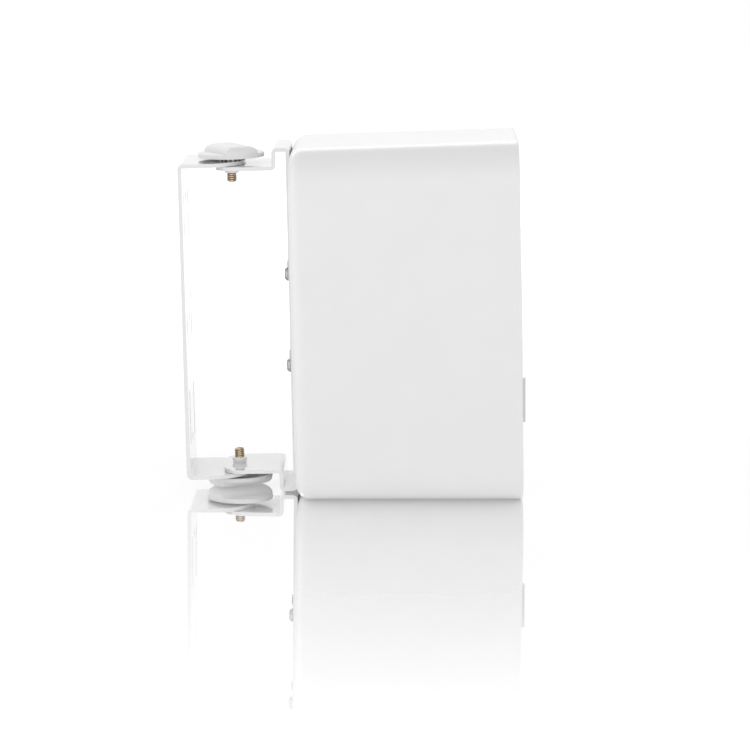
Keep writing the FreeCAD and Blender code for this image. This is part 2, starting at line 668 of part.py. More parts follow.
def front_baffle():
    board = tapered_block(BAFFLE_BACK_X, BAFFLE_X, WALL + BAFFLE_PLAY)
    behind = BAFFLE_BACK_X - 1
    ahead = BAFFLE_X + 1
    cuts = [
        rod_x(WOOFER_HOLE_RADIUS, behind, ahead, 0, WOOFER_Z),
        rod_x(WOOFER_FRAME_RADIUS + DRIVER_PLAY, BAFFLE_X - WOOFER_RECESS, ahead, 0, WOOFER_Z),
        rod_x(TWEETER_BOSS_RADIUS, behind, ahead, 0, TWEETER_Z),
        rod_x(TWEETER_RADIUS + DRIVER_PLAY, BAFFLE_X - TWEETER_PLATE, ahead, 0, TWEETER_Z),
    ]
    for y, z in baffle_screw_places():
        cuts.append(rod_x(BAFFLE_THREAD / 2 + PIVOT_HOLE_PLAY, behind, ahead, y, z))
    for y, z in woofer_screw_places():
        cuts.append(rod_x(WOOFER_THREAD / 2 + PRESS_CLEARANCE, behind, ahead, y, z))
    for y, z in tweeter_screw_places():
        cuts.append(rod_x(TWEETER_THREAD / 2 + PRESS_CLEARANCE, behind, ahead, y, z))
    return board.cut(cuts)


def baffle_gasket():
    ring = ring_block(LEDGE_X, BAFFLE_BACK_X, WALL + BAFFLE_PLAY, WALL + LEDGE_WIDTH)
    hole = BAFFLE_THREAD / 2 + PIVOT_HOLE_PLAY
    places = baffle_screw_places()
    return ring.cut([rod_x(hole, LEDGE_X - OVERCUT, BAFFLE_BACK_X + OVERCUT, y, z) for y, z in places])


def crown_radius(half_length, sag):
    return (half_length ** 2 + sag ** 2) / (2 * sag)


def crown_block(offset):
    """Block whose front is the crowned grille face, moved out by an offset."""
    half_width, half_height = cabinet_half(FRONT_X, 0)[:2]
    across = crown_radius(half_width, CROWN_SAG_ACROSS) + offset
    upward = crown_radius(half_height, CROWN_SAG_UP) + offset
    top = CROWN_X + offset
    edge = top - across + math.sqrt(across ** 2 - half_width ** 2)
    back = BAFFLE_X - 2 * OVERCUT
    left_edge = FreeCAD.Vector(edge, -half_width, 0)
    right_edge = FreeCAD.Vector(edge, half_width, 0)
    left_back = FreeCAD.Vector(back, -half_width, 0)
    right_back = FreeCAD.Vector(back, half_width, 0)
    wire = Part.Wire([
        Part.Arc(left_edge, FreeCAD.Vector(top, 0, 0), right_edge).toShape(),
        Part.makeLine(right_edge, right_back),
        Part.makeLine(right_back, left_back),
        Part.makeLine(left_back, left_edge),
    ])
    face = Part.Face(wire)
    hinge = FreeCAD.Vector(top - upward, 0, 0)
    swing = math.degrees(math.asin(half_height / (upward - CROWN_RISE - BAFFLE_SETBACK)))
    face.rotate(hinge, Y_AXIS, -swing)
    return face.revolve(hinge, Y_AXIS, 2 * swing)


def grille_body(extra_inset, offset):
    body = tapered_block(BAFFLE_X, CROWN_X + OVERCUT, WALL + GRILLE_PLAY + extra_inset)
    return body.common(crown_block(offset))


def inside_grille(y, z, margin):
    """True where a hole of that margin fits within the grille's rounded outline and clear of the badge."""
    half_width, half_height, radius = cabinet_half(FRONT_X, WALL + GRILLE_PLAY + GRILLE_SHEET)
    over_y = max(abs(y) - half_width + radius, 0)
    over_z = max(abs(z) - half_height + radius, 0)
    near_badge = abs(y - BADGE_Y) < BADGE_WIDTH / 2 + margin and abs(z - BADGE_Z) < BADGE_HEIGHT / 2 + margin
    return math.hypot(over_y, over_z) < radius - margin and not near_badge


def grille_holes():
    row_pitch = HOLE_PITCH * math.sqrt(3) / 2
    rows = int(CABINET_HEIGHT / 2 / row_pitch)
    columns = int(CABINET_WIDTH / 2 / HOLE_PITCH) + 1
    margin = HOLE_ACROSS_FLATS / 2 + GRILLE_SHEET
    holes = []
    for row in range(-rows, rows + 1):
        for column in range(-columns, columns + 1):
            y = (column + row % 2 / 2) * HOLE_PITCH
            z = row * row_pitch
            if inside_grille(y, z, margin):
                turned = [(y + v, z + u) for u, v in hexagon(HOLE_ACROSS_FLATS, 0, 0)]
                holes.append(prism_x(turned, BAFFLE_X + BAFFLE_SETBACK / 2, CROWN_X + OVERCUT))
    return holes


def front_grille():
    shell = grille_body(0, 0).cut(grille_body(GRILLE_SHEET, -GRILLE_SHEET))
    return shell.cut(grille_holes())


def badge():
    outline = rectangle(BADGE_WIDTH, BADGE_HEIGHT, BADGE_ROUND, BADGE_Y, BADGE_Z)
    blank = prism_x(outline, BAFFLE_X, CROWN_X + 2 * BADGE_THICKNESS)
    return blank.common(crown_block(BADGE_THICKNESS)).cut(crown_block(BADGE_SEAT))


# Woofer

def ring_places(radius, count, first_angle, z):
    angles = [math.radians(first_angle + 360 * i / count) for i in range(count)]
    return [(radius * math.cos(a), z + radius * math.sin(a)) for a in angles]


def woofer_screw_places():
    radius = WOOFER_FRAME_RADIUS - WOOFER_HEAD_DIAMETER / 2 - 2 * SCREW_MARGIN
    return ring_places(radius, WOOFER_SCREWS, 45, WOOFER_Z)


def woofer_basket():
    sheet = WOOFER_FRAME_SHEET
    floor = BASKET_BACK + sheet
    opening = COIL_RADIUS + COIL_WINDING + 2 * MAGNET_GAP + SPIDER_RIM
    profile = [
        (0, WOOFER_FRAME_RADIUS), (0, WOOFER_MOUTH_RADIUS), (floor, WOOFER_BASE_RADIUS), (floor, opening),
        (BASKET_BACK, opening), (BASKET_BACK, WOOFER_BASE_RADIUS + sheet),
        (-sheet, WOOFER_MOUTH_RADIUS + sheet), (-sheet, WOOFER_FRAME_RADIUS),
    ]
    basket = turned_x(profile, WOOFER_Z)
    start = BAFFLE_X + floor + WOOFER_WINDOW_MARGIN
    end = BAFFLE_X - sheet - WOOFER_WINDOW_MARGIN
    cuts = []
    for i in range(WOOFER_WINDOWS):
        place = FreeCAD.Vector(start, 0, WOOFER_Z)
        window = Part.makeCylinder(WOOFER_FRAME_RADIUS, end - start, place, X_AXIS, WOOFER_WINDOW_ANGLE)
        window.rotate(place, X_AXIS, 360 * i / WOOFER_WINDOWS - WOOFER_WINDOW_ANGLE / 2)
        cuts.append(window)
    for y, z in woofer_screw_places():
        hole = WOOFER_THREAD / 2 + PIVOT_HOLE_PLAY
        cuts.append(rod_x(hole, BAFFLE_X - WOOFER_RECESS, BAFFLE_X + OVERCUT, y, z))
    return basket.cut(cuts)


def woofer_gasket():
    inner = WOOFER_HOLE_RADIUS + PRESS_CLEARANCE
    outer = inner + WOOFER_GASKET_WIDTH
    front = -WOOFER_FRAME_SHEET
    back = front - GASKET_THICKNESS
    ring = turned_x([(front, inner), (front, outer), (back, outer), (back, inner)], WOOFER_Z)
    hole = WOOFER_THREAD / 2 + PIVOT_HOLE_PLAY
    places = woofer_screw_places()
    return ring.cut([rod_x(hole, BAFFLE_X + back - OVERCUT, BAFFLE_X, y, z) for y, z in places])


def woofer_surround():
    """Half-roll rubber ring between the frame's flange and the cone's edge."""
    skin = SURROUND_RUBBER
    roll_outer = WOOFER_MOUTH_RADIUS
    roll_inner = CONE_RADIUS
    height = (roll_outer - roll_inner) / 2 + skin
    outer_arc = height - 2 * PRESS_CLEARANCE
    inner_arc = outer_arc - skin
    profile = [
        (0, SURROUND_OUTER), (skin, SURROUND_OUTER), (skin, roll_outer + skin),
        (skin + height, roll_outer + skin, outer_arc), (skin + height, roll_inner - skin, outer_arc),
        (skin, roll_inner - skin), (skin, SURROUND_INNER - skin), (0, SURROUND_INNER - skin),
        (0, roll_inner), (height, roll_inner, inner_arc), (height, roll_outer, inner_arc), (0, roll_outer),
    ]
    return turned_x(profile, WOOFER_Z)


def woofer_cone():
    neck = CONE_NECK_RADIUS
    profile = [
        (0, CONE_RADIUS), (0, CONE_RADIUS - CONE_PAPER), (CONE_PAPER - CONE_DEPTH, neck),
        (-CONE_DEPTH, neck), (-CONE_PAPER, CONE_RADIUS),
    ]
    return turned_x(profile, WOOFER_Z)


def woofer_dust_cap():
    slope = (CONE_DEPTH - CONE_PAPER) / (CONE_RADIUS - CONE_PAPER - CONE_NECK_RADIUS)
    edge = CONE_PAPER - CONE_DEPTH + slope * (DUST_CAP_RADIUS - CONE_NECK_RADIUS)
    seat = BAFFLE_X + edge + PRESS_CLEARANCE
    return dome_x(seat, DUST_CAP_RADIUS, DUST_CAP_RISE, DUST_CAP_PAPER, WOOFER_Z)


def woofer_voice_coil():
    front = CONE_PAPER - CONE_DEPTH
    back = front - COIL_LENGTH
    inner = COIL_RADIUS - COIL_FORMER
    outer = COIL_RADIUS + COIL_WINDING
    winding = back + COIL_TAIL
    profile = [
        (front, inner), (front, COIL_RADIUS), (winding + WINDING_LENGTH, COIL_RADIUS),
        (winding + WINDING_LENGTH, outer), (winding, outer), (winding, COIL_RADIUS),
        (back, COIL_RADIUS), (back, inner),
    ]
    return turned_x(profile, WOOFER_Z)


def woofer_spider():
    """Corrugated cloth disc from the basket's floor up to the coil former."""
    floor = BASKET_BACK + WOOFER_FRAME_SHEET
    outer = WOOFER_BASE_RADIUS - SPIDER_CLOTH
    inner = COIL_RADIUS + PRESS_CLEARANCE
    first = outer - SPIDER_RIM
    last = inner + SPIDER_RIM / 2
    lift = floor + 2 * SPIDER_WAVE_HEIGHT
    step = (first - last) / (2 * SPIDER_WAVES)
    line = [(floor, outer), (floor, first)]
    for i in range(1, 2 * SPIDER_WAVES):
        line.append((lift + (SPIDER_WAVE_HEIGHT if i % 2 else 0), first - i * step))
    line += [(lift, last), (lift, inner)]
    front = [(x + SPIDER_CLOTH, r) for x, r in reversed(line)]
    return turned_x(line + front, WOOFER_Z)


def woofer_top_plate():
    bore = COIL_RADIUS + COIL_WINDING + MAGNET_GAP
    profile = [
        (MAGNET_FRONT, bore), (MAGNET_FRONT, PLATE_RADIUS), (BASKET_BACK, PLATE_RADIUS), (BASKET_BACK, bore),
    ]
    return turned_x(profile, WOOFER_Z)


def woofer_magnet():
    profile = [
        (YOKE_FRONT, MAGNET_BORE_RADIUS), (YOKE_FRONT, MAGNET_RADIUS),
        (MAGNET_FRONT, MAGNET_RADIUS), (MAGNET_FRONT, MAGNET_BORE_RADIUS),
    ]
    return turned_x(profile, WOOFER_Z)


def woofer_yoke():
    pole = COIL_RADIUS - COIL_FORMER - POLE_GAP
    profile = [
        (YOKE_BACK, POLE_VENT_RADIUS), (YOKE_BACK, PLATE_RADIUS), (YOKE_FRONT, PLATE_RADIUS),
        (YOKE_FRONT, pole), (BASKET_BACK, pole), (BASKET_BACK, POLE_VENT_RADIUS),
    ]
    return turned_x(profile, WOOFER_Z)


def driver_screws(thread, head_diameter, places):
    screw = facing_back(pan_screw(thread, DRIVER_SCREW_LENGTH, head_diameter, DRIVER_HEAD_HEIGHT))
    return group([moved(screw, BAFFLE_X, y, z) for y, z in places])


# Tweeter

def tweeter_screw_places():
    radius = (TWEETER_RADIUS + TWEETER_FLARE_RADIUS) / 2
    return ring_places(radius, TWEETER_SCREWS, 90, TWEETER_Z)


def tweeter_faceplate():
    profile = [
        (0, TWEETER_RADIUS), (0, TWEETER_FLARE_RADIUS), (TWEETER_LIP - TWEETER_PLATE, TWEETER_THROAT_RADIUS),
        (-TWEETER_PLATE, TWEETER_THROAT_RADIUS), (-TWEETER_PLATE, TWEETER_RADIUS),
    ]
    hole = TWEETER_THREAD / 2 + PIVOT_HOLE_PLAY
    behind = BAFFLE_X - TWEETER_PLATE - OVERCUT
    holes = [rod_x(hole, behind, BAFFLE_X + OVERCUT, y, z) for y, z in tweeter_screw_places()]
    return turned_x(profile, TWEETER_Z).cut(holes)


def tweeter_dome():
    base = -TWEETER_PLATE
    inner = TWEETER_DOME_RADIUS - TWEETER_DOME_FILM
    back = base - TWEETER_LIP
    ring = turned_x(
        [(back, inner), (back, TWEETER_RING_RADIUS), (base, TWEETER_RING_RADIUS), (base, inner)], TWEETER_Z)
    seat = BAFFLE_X + base - PRESS_CLEARANCE
    cap = dome_x(seat, TWEETER_DOME_RADIUS, TWEETER_DOME_RISE, TWEETER_DOME_FILM, TWEETER_Z)
    return ring.fuse(cap)


def tweeter_motor():
    front = BAFFLE_X - TWEETER_PLATE - TWEETER_LIP
    motor = rod_x(TWEETER_MOTOR_RADIUS, front - TWEETER_MOTOR_DEPTH, front, 0, TWEETER_Z)
    return motor.makeChamfer(TWEETER_MOTOR_CHAMFER, edges_at_x(motor, front - TWEETER_MOTOR_DEPTH))


# Crossover

def crossover_board():
    outline = rectangle(BOARD_WIDTH, BOARD_HEIGHT, BOARD_CORNER, 0, BOARD_Z)
    blank = prism_x(outline, BOARD_X, BOARD_FRONT_X)
    hole = BOARD_THREAD / 2 + PIVOT_HOLE_PLAY
    places = board_screw_places()
    return blank.cut([rod_x(hole, BOARD_X - OVERCUT, BOARD_FRONT_X + OVERCUT, y, z) for y, z in places])


def crossover_inductors():
    z = BOARD_Z - BOARD_HEIGHT / 2 + INDUCTOR_RADIUS + COMPONENT_MARGIN
    top = BOARD_FRONT_X + INDUCTOR_HEIGHT
    coils = []
    for side in (-1, 1):
        y = side * INDUCTOR_SPACING / 2
        coil = rod_x(INDUCTOR_RADIUS, BOARD_FRONT_X, top, y, z)
        bore = rod_x(INDUCTOR_BORE_RADIUS, BOARD_FRONT_X - OVERCUT, top + OVERCUT, y, z)
        coils.append(coil.cut(bore))
    return group(coils)


def crossover_capacitors():
    x = BOARD_FRONT_X + CAPACITOR_RADIUS
    z = BOARD_Z + BOARD_HEIGHT / 2 - CAPACITOR_RADIUS - COMPONENT_MARGIN
    cans = []
    for side in (-1, 1):
        start = FreeCAD.Vector(x, side * CAPACITOR_SPACING / 2 - CAPACITOR_LENGTH / 2, z)
        cans.append(Part.makeCylinder(CAPACITOR_RADIUS, CAPACITOR_LENGTH, start, Y_AXIS))
    return group(cans)


def crossover_resistor():
    z = BOARD_Z - BOARD_HEIGHT / 2 + RESISTOR_LENGTH / 2 + COMPONENT_MARGIN
    outline = rectangle(RESISTOR_SIDE, RESISTOR_LENGTH, RESISTOR_CORNER, 0, z)
    return prism_x(outline, BOARD_FRONT_X, BOARD_FRONT_X + RESISTOR_SIDE)


def crossover_screws():
    length = BOARD_THICKNESS + BOARD_SCREW_BITE
    screw = facing_back(pan_screw(BOARD_THREAD, length, SMALL_HEAD_DIAMETER, SMALL_HEAD_HEIGHT))
    return group([moved(screw, BOARD_FRONT_X, y, z) for y, z in board_screw_places()])


# Terminal panel

def panel_outline(width, height, inset):
    """Rounded outline about the terminal panel's centre, moved in by an inset."""
    return rectangle(width - 2 * inset, height - 2 * inset, PANEL_CORNER - inset, TERMINAL_Y, TERMINAL_Z)


def panel_screw_holes(x_from, x_to):
    hole = PANEL_THREAD / 2 + PIVOT_HOLE_PLAY
    return [rod_x(hole, x_from - OVERCUT, x_to + OVERCUT, y, z) for y, z in panel_screw_places()]


def terminal_panel():
    front = PANEL_BACK_X - PANEL_THICKNESS
    flange = prism_x(panel_outline(PANEL_WIDTH, PANEL_HEIGHT, 0), front, PANEL_BACK_X)
    cup = prism_x(panel_outline(CUP_WIDTH, CUP_HEIGHT, 0), front, CUP_FLOOR_X)
    hollow = prism_x(panel_outline(CUP_WIDTH, CUP_HEIGHT, CUP_WALL), front - OVERCUT, CUP_FLOOR_X - CUP_WALL)
    holes = panel_screw_holes(front, PANEL_BACK_X)
    return flange.fuse(cup).removeSplitter().cut([hollow] + holes)


def terminal_gasket():
    sheet = prism_x(panel_outline(PANEL_WIDTH, PANEL_HEIGHT, 0), PANEL_BACK_X, BACK_X)
    cup_opening = panel_outline(CUP_WIDTH, CUP_HEIGHT, -CUP_PLAY)
    opening = prism_x(cup_opening, PANEL_BACK_X - OVERCUT, BACK_X + OVERCUT)
    return sheet.cut([opening] + panel_screw_holes(PANEL_BACK_X, BACK_X))


def terminal_places():
    return [TERMINAL_Z - WIRE_SPACING / 2, TERMINAL_Z + WIRE_SPACING / 2]


def terminal_block():
    floor = CUP_FLOOR_X - CUP_WALL
    back = floor - BLOCK_DEPTH
    outline = rectangle(BLOCK_WIDTH, BLOCK_HEIGHT, BLOCK_CORNER, TERMINAL_Y, TERMINAL_Z)
    mouth = back - OVERCUT
    end = floor - BLOCK_FLOOR
    cuts = []
    for z in terminal_places():
        cuts.append(rod_x(WIRE_HOLE_RADIUS, mouth, end, TERMINAL_Y - CLAMP_OFFSET, z))
        cuts.append(rod_x(CLAMP_RADIUS + PRESS_CLEARANCE, mouth, end, CLAMP_Y, z))
    return prism_x(outline, back, floor).cut(cuts)


def terminal_clamp_screws():
    end = CUP_FLOOR_X - CUP_WALL - BLOCK_FLOOR
    head = CUP_FLOOR_X - CUP_WALL - BLOCK_DEPTH + CLAMP_SINK
    screws = []
    for z in terminal_places():
        slot = rectangle(CLAMP_RADIUS * 3, CLAMP_SLOT, CLAMP_SLOT / 4, CLAMP_Y, z)
        screw = rod_x(CLAMP_RADIUS, head, end, CLAMP_Y, z)
        screws.append(screw.cut(prism_x(slot, head - OVERCUT, head + CLAMP_SLOT)))
    return group(screws)


def terminal_panel_screws():
    length = PANEL_THICKNESS + PANEL_GASKET + PANEL_BOSS_LENGTH - PILOT_FLOOR - PILOT_SPARE
    screw = pan_screw(PANEL_THREAD, length, SMALL_HEAD_DIAMETER, SMALL_HEAD_HEIGHT)
    return group([moved(screw, PANEL_BACK_X - PANEL_THICKNESS, y, z) for y, z in panel_screw_places()])


# Leads and wadding inside the cabinet

def lead(points):
    """Round lead along straight runs joined by tangent arcs as large as the runs allow."""
    route = [FreeCAD.Vector(*p) for p in points]
    start = route[0]
    edges = []
    for last, corner, following in zip(route, route[1:], route[2:]):
        shorter = min((corner - last).Length, (following - corner).Length)
        turn = (corner - last).getAngle(following - corner)
        radius = LEAD_BEND_SHARE * shorter / math.tan(turn / 2)
        arc_start, middle, arc_end = corner_arc(last, corner, following, radius)
        edges.append(Part.makeLine(start, arc_start))
        edges.append(Part.Arc(arc_start, middle, arc_end).toShape())
        start = arc_end
    edges.append(Part.makeLine(start, route[-1]))
    path = Part.Wire(edges)
    section = Part.Wire(Part.Circle(route[0], route[1] - route[0], LEAD_RADIUS).toShape())
    return path.makePipeShell([section], True, False)


def input_lead():
    y = TERMINAL_Y - BLOCK_WIDTH / 2
    board_y = BOARD_WIDTH / 2 - BOARD_HOLE_MARGIN
    rise = BOARD_Z - TERMINAL_Z
    exit_x = CUP_FLOOR_X + LEAD_EXIT
    return lead([
        (CUP_FLOOR_X, y, TERMINAL_Z), (exit_x, y, TERMINAL_Z),
        (exit_x + LEAD_SLACK, y, TERMINAL_Z + rise * 0.25),
        (exit_x + LEAD_SLACK / 4, y - LEAD_SLACK, TERMINAL_Z + rise * 0.6),
        (exit_x + LEAD_SLACK / 2, board_y, BOARD_Z - rise * 0.15),
        (BOARD_FRONT_X + LEAD_EXIT, board_y, BOARD_Z), (BOARD_FRONT_X, board_y, BOARD_Z),
    ])


def basket_side(distance):
    """Point off the basket's wall between two windows, measured square to the wall."""
    slope = (WOOFER_MOUTH_RADIUS - WOOFER_BASE_RADIUS) / (WOOFER_BASKET_DEPTH - WOOFER_FRAME_SHEET)
    tilt = math.atan(slope)
    middle = (BASKET_BACK - WOOFER_FRAME_SHEET) / 2
    wall = (WOOFER_MOUTH_RADIUS + WOOFER_BASE_RADIUS) / 2 + WOOFER_FRAME_SHEET
    along = (wall + distance * math.cos(tilt)) * math.cos(math.radians(45))
    return BAFFLE_X + middle - distance * math.sin(tilt), -along, WOOFER_Z + along


def woofer_lead():
    board_y = BOARD_HOLE_MARGIN - BOARD_WIDTH / 2
    bend = basket_side(LEAD_STANDOFF)
    run = bend[0] - BOARD_FRONT_X
    drop = BOARD_Z - bend[2]
    return lead([
        (BOARD_FRONT_X, board_y, BOARD_Z), (BOARD_FRONT_X + LEAD_EXIT, board_y, BOARD_Z),
        (BOARD_FRONT_X + run * 0.4, board_y - LEAD_SLACK, BOARD_Z - drop * 0.2),
        (BOARD_FRONT_X + run * 0.75, board_y - 2 * LEAD_SLACK, BOARD_Z - drop * 0.6),
        bend, basket_side(PRESS_CLEARANCE),
    ])


def tweeter_lead():
    rear = BAFFLE_X - TWEETER_PLATE - TWEETER_LIP - TWEETER_MOTOR_DEPTH
    board_z = BOARD_Z + BOARD_HEIGHT / 2 - 2 * BOARD_HOLE_MARGIN
    board_y = BOARD_WIDTH / 2 - 2 * BOARD_HOLE_MARGIN
    run = rear - BOARD_FRONT_X
    return lead([
        (BOARD_FRONT_X, board_y, board_z), (BOARD_FRONT_X + run * 0.2, board_y, board_z),
        (BOARD_FRONT_X + run * 0.5, board_y * 0.7, board_z + LEAD_SLACK / 2),
        (rear - run * 0.2, 0, TWEETER_Z), (rear, 0, TWEETER_Z),
    ])


def acoustic_wadding():
    half_width, half_height = cabinet_half(INSIDE_X, max(REAR_EDGE_RADIUS, WALL))[:2]
    boss_edge = STRAP_SCREW_RISE / 2 + INSERT_DIAMETER / 2 + INSERT_BOSS_WALL
    left = -half_width + WADDING_GAP
    right = TERMINAL_Y - PANEL_WIDTH / 2 - WADDING_SIDE_GAP
    low = -half_height + WADDING_GAP
    high = -boss_edge - WADDING_TOP_GAP
    face = rectangle(right - left, high - low, WADDING_ROUND, (left + right) / 2, (low + high) / 2)
    return prism_x(face, INSIDE_X + WADDING_GAP, INSIDE_X + WADDING_GAP + WADDING_THICKNESS)


# Small hardware on the strap and the baffle

def bracket_screws():
    length = SHEET + INSERT_LENGTH - INSERT_SPARE
    screw = pan_screw(STRAP_THREAD, length, STRAP_HEAD_DIAMETER, STRAP_HEAD_HEIGHT)
    shoulder = (HEAD_BEVEL - 1) * STRAP_HEAD_HEIGHT
    crown = edges_at_x(screw, -STRAP_HEAD_HEIGHT) + edges_at_x(screw, shoulder)
    screw = screw.makeFillet(STRAP_HEAD_ROUND, crown)
    return group([moved(screw, STRAP_X, y, z) for y, z in strap_screw_places()])


def bracket_inserts():
    inserts = []
    end = BACK_X + INSERT_LENGTH
    for y, z in strap_screw_places():
        sleeve = rod_x(INSERT_DIAMETER / 2, BACK_X, end, y, z)
        bore = rod_x(STRAP_THREAD / 2 + THREAD_PLAY, BACK_X - OVERCUT, end + OVERCUT, y, z)
        inserts.append(sleeve.cut(bore))
    return group(inserts)


def baffle_screws():
    length = BAFFLE_THICKNESS + GASKET_THICKNESS + BAFFLE_BOSS_LENGTH - PILOT_FLOOR - PILOT_SPARE
    screw = facing_back(pan_screw(BAFFLE_THREAD, length, BAFFLE_HEAD_DIAMETER, BAFFLE_HEAD_HEIGHT))
    return group([moved(screw, BAFFLE_X, y, z) for y, z in baffle_screw_places()])


def all_nodes():
    nut = pivot_nut()
    washer = lock_washer()
    return {
        "wall_bracket": wall_bracket(),
        "speaker_bracket": speaker_bracket(),
        "pivot_nuts": group([nut, below(nut)]),
        "lock_washers": group([washer, below(washer)]),
        "knob_top": knob(TOP_GRIP_TURN),
        "knob_bottom": below(knob(BOTTOM_GRIP_TURN)),
        "knob_screw_top": knob_screw(TOP_GRIP_TURN),
        "knob_screw_bottom": below(knob_screw(BOTTOM_GRIP_TURN)),
        "bracket_screws": bracket_screws(),
        "bracket_inserts": bracket_inserts(),
        "cabinet_shell": cabinet_shell(),
        "front_baffle": front_baffle(),
        "baffle_gasket": baffle_gasket(),
        "baffle_screws": baffle_screws(),
        "front_grille": front_grille(),
        "badge": badge(),
        "woofer_basket": woofer_basket(),
        "woofer_gasket": woofer_gasket(),
        "woofer_screws": driver_screws(WOOFER_THREAD, WOOFER_HEAD_DIAMETER, woofer_screw_places()),
        "woofer_surround": woofer_surround(),
        "woofer_cone": woofer_cone(),
        "woofer_dust_cap": woofer_dust_cap(),
        "woofer_voice_coil": woofer_voice_coil(),
        "woofer_spider": woofer_spider(),
        "woofer_top_plate": woofer_top_plate(),
        "woofer_magnet": woofer_magnet(),
        "woofer_yoke": woofer_yoke(),
        "tweeter_faceplate": tweeter_faceplate(),
        "tweeter_dome": tweeter_dome(),
        "tweeter_motor": tweeter_motor(),
        "tweeter_screws": driver_screws(TWEETER_THREAD, WOOFER_HEAD_DIAMETER, tweeter_screw_places()),
        "crossover_board": crossover_board(),
        "crossover_inductors": crossover_inductors(),
        "crossover_capacitors": crossover_capacitors(),
        "crossover_resistor": crossover_resistor(),
        "crossover_screws": crossover_screws(),
        "terminal_panel": terminal_panel(),
        "terminal_gasket": terminal_gasket(),
        "terminal_block": terminal_block(),
        "terminal_clamp_screws": terminal_clamp_screws(),
        "terminal_panel_screws": terminal_panel_screws(),
        "input_lead": input_lead(),
        "woofer_lead": woofer_lead(),
        "tweeter_lead": tweeter_lead(),
        "acoustic_wadding": acoustic_wadding(),
    }


os.makedirs("parts", exist_ok=True)
for name, shape in all_nodes().items():
    shape.exportStep(os.path.join("parts", name + ".step"))
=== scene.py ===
import json
import math

import bmesh
import bpy
from mathutils import Matrix, Vector
from mathutils.geometry import delaunay_2d_cdt


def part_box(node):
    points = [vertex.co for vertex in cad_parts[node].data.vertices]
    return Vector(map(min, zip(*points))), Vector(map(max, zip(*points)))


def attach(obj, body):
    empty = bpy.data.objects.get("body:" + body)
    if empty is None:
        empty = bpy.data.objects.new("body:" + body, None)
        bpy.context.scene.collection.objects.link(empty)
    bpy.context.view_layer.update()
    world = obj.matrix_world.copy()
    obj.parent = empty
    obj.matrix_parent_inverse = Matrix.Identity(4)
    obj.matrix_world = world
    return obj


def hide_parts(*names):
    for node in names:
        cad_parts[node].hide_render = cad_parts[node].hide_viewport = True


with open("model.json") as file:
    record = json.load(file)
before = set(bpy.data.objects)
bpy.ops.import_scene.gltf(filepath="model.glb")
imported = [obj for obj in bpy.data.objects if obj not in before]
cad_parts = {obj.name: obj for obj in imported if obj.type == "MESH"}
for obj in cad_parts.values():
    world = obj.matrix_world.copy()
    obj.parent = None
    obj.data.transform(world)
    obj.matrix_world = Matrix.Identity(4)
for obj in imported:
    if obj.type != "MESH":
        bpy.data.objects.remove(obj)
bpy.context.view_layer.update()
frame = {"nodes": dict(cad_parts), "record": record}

MM = 0.001

# Camera, solved from the object and its mirror image in the floor
IMAGE_SIZE = 750
FOCAL_PIXELS = 3063.3
SENSOR_WIDTH = 36.0
CAMERA_PLACE = Vector((157.5, -1984.7, 313.5)) * MM
CAMERA_YAW = math.radians(-0.978)
CAMERA_PITCH = math.radians(10.131)
CAMERA_ROLL = math.radians(-1.164)

# Floor: it follows the drafted bottom of the cabinet
DRAFT_ANGLE = math.radians(0.9)
FLOOR_GAP = 0.3 * MM
FLOOR_SIZE = 8.0
FLOOR_GREY = 0.86
FLOOR_BOUNCE = 0.22
# Painted shadow: the floor's glow as seen rises from the first level near the object to the second far from
# it, so the floor is darker around the object.
GLOW_NEAR_PAINTED_SHADOW = 0.23
GLOW_FAR = 0.48

# Mirror in the floor: it fades away from the object, and is weaker under the bracket
MIRROR_ROUGHNESS = 0.02
MIRROR_NEAR = 0.15
MIRROR_FAR = 0.74
MIRROR_SHARE = 0.96
MIRROR_BESIDE = 0.82
BESIDE_FROM = -0.085
BESIDE_TO = -0.070

# Studio light: the world's level as fill and as seen, and each lamp's place, size and power
WORLD_FILL = 0.68
WORLD_SEEN = 1.0
LAMP_TARGET = (0.12, 0, 0)
LAMPS = {
    "front_soft": ((0.1, -1.8, 0.7), (1.8, 1.4), 5),
    "back_soft": ((-0.2, 1.5, 0.95), (1.6, 0.7), 7),
    "left_soft": ((-1.8, -0.2, 0.5), (1.2, 1.2), 6),
    "right_soft": ((1.9, -0.3, 0.5), (1.2, 1.2), 3),
}

# Perforated grille
CROWN_SAG_ACROSS = 2.5 * MM
CROWN_SAG_UP = 2.0 * MM
GRILLE_CORNER = 21.4 * MM
GRILLE_SHEET = 1.0 * MM
GRILLE_EDGE_ROUND = 0.8 * MM
GRILLE_EDGE_STEPS = 4
PERFORATION_PITCH = 3.2 * MM
PERFORATION_RADIUS = 1.05 * MM
PERFORATION_SIDES = 10
PERFORATION_MARGIN = 3.2 * MM
CORNER_STEPS = 14
EDGE_STEP = 4.0 * MM
INSIDE_WITH_HOLES = 2
MERGE_DISTANCE = 1e-9

# Knobs: a bar with rounded edges across a flange
KNOB_FLANGE = 2.8 * MM
KNOB_FLANGE_ROUND = 0.7 * MM
KNOB_RIM = 2.6 * MM
KNOB_HUB_RADIUS = 10.5 * MM
KNOB_HOLLOW = 1.2 * MM
KNOB_BORE_RADIUS = 3.3 * MM
GRIP_HALF_WIDTH = 11.4 * MM
GRIP_INSET = 0.2 * MM
GRIP_CORNER = 2.6 * MM
GRIP_EDGE_RUN = 6.6 * MM
GRIP_EDGE_DROP = 4.7 * MM
TOP_GRIP_AXIS = math.radians(-62.5)
BOTTOM_GRIP_AXIS = math.radians(26)
LATHE_SIDES = 96
ROUND_STEPS = 8

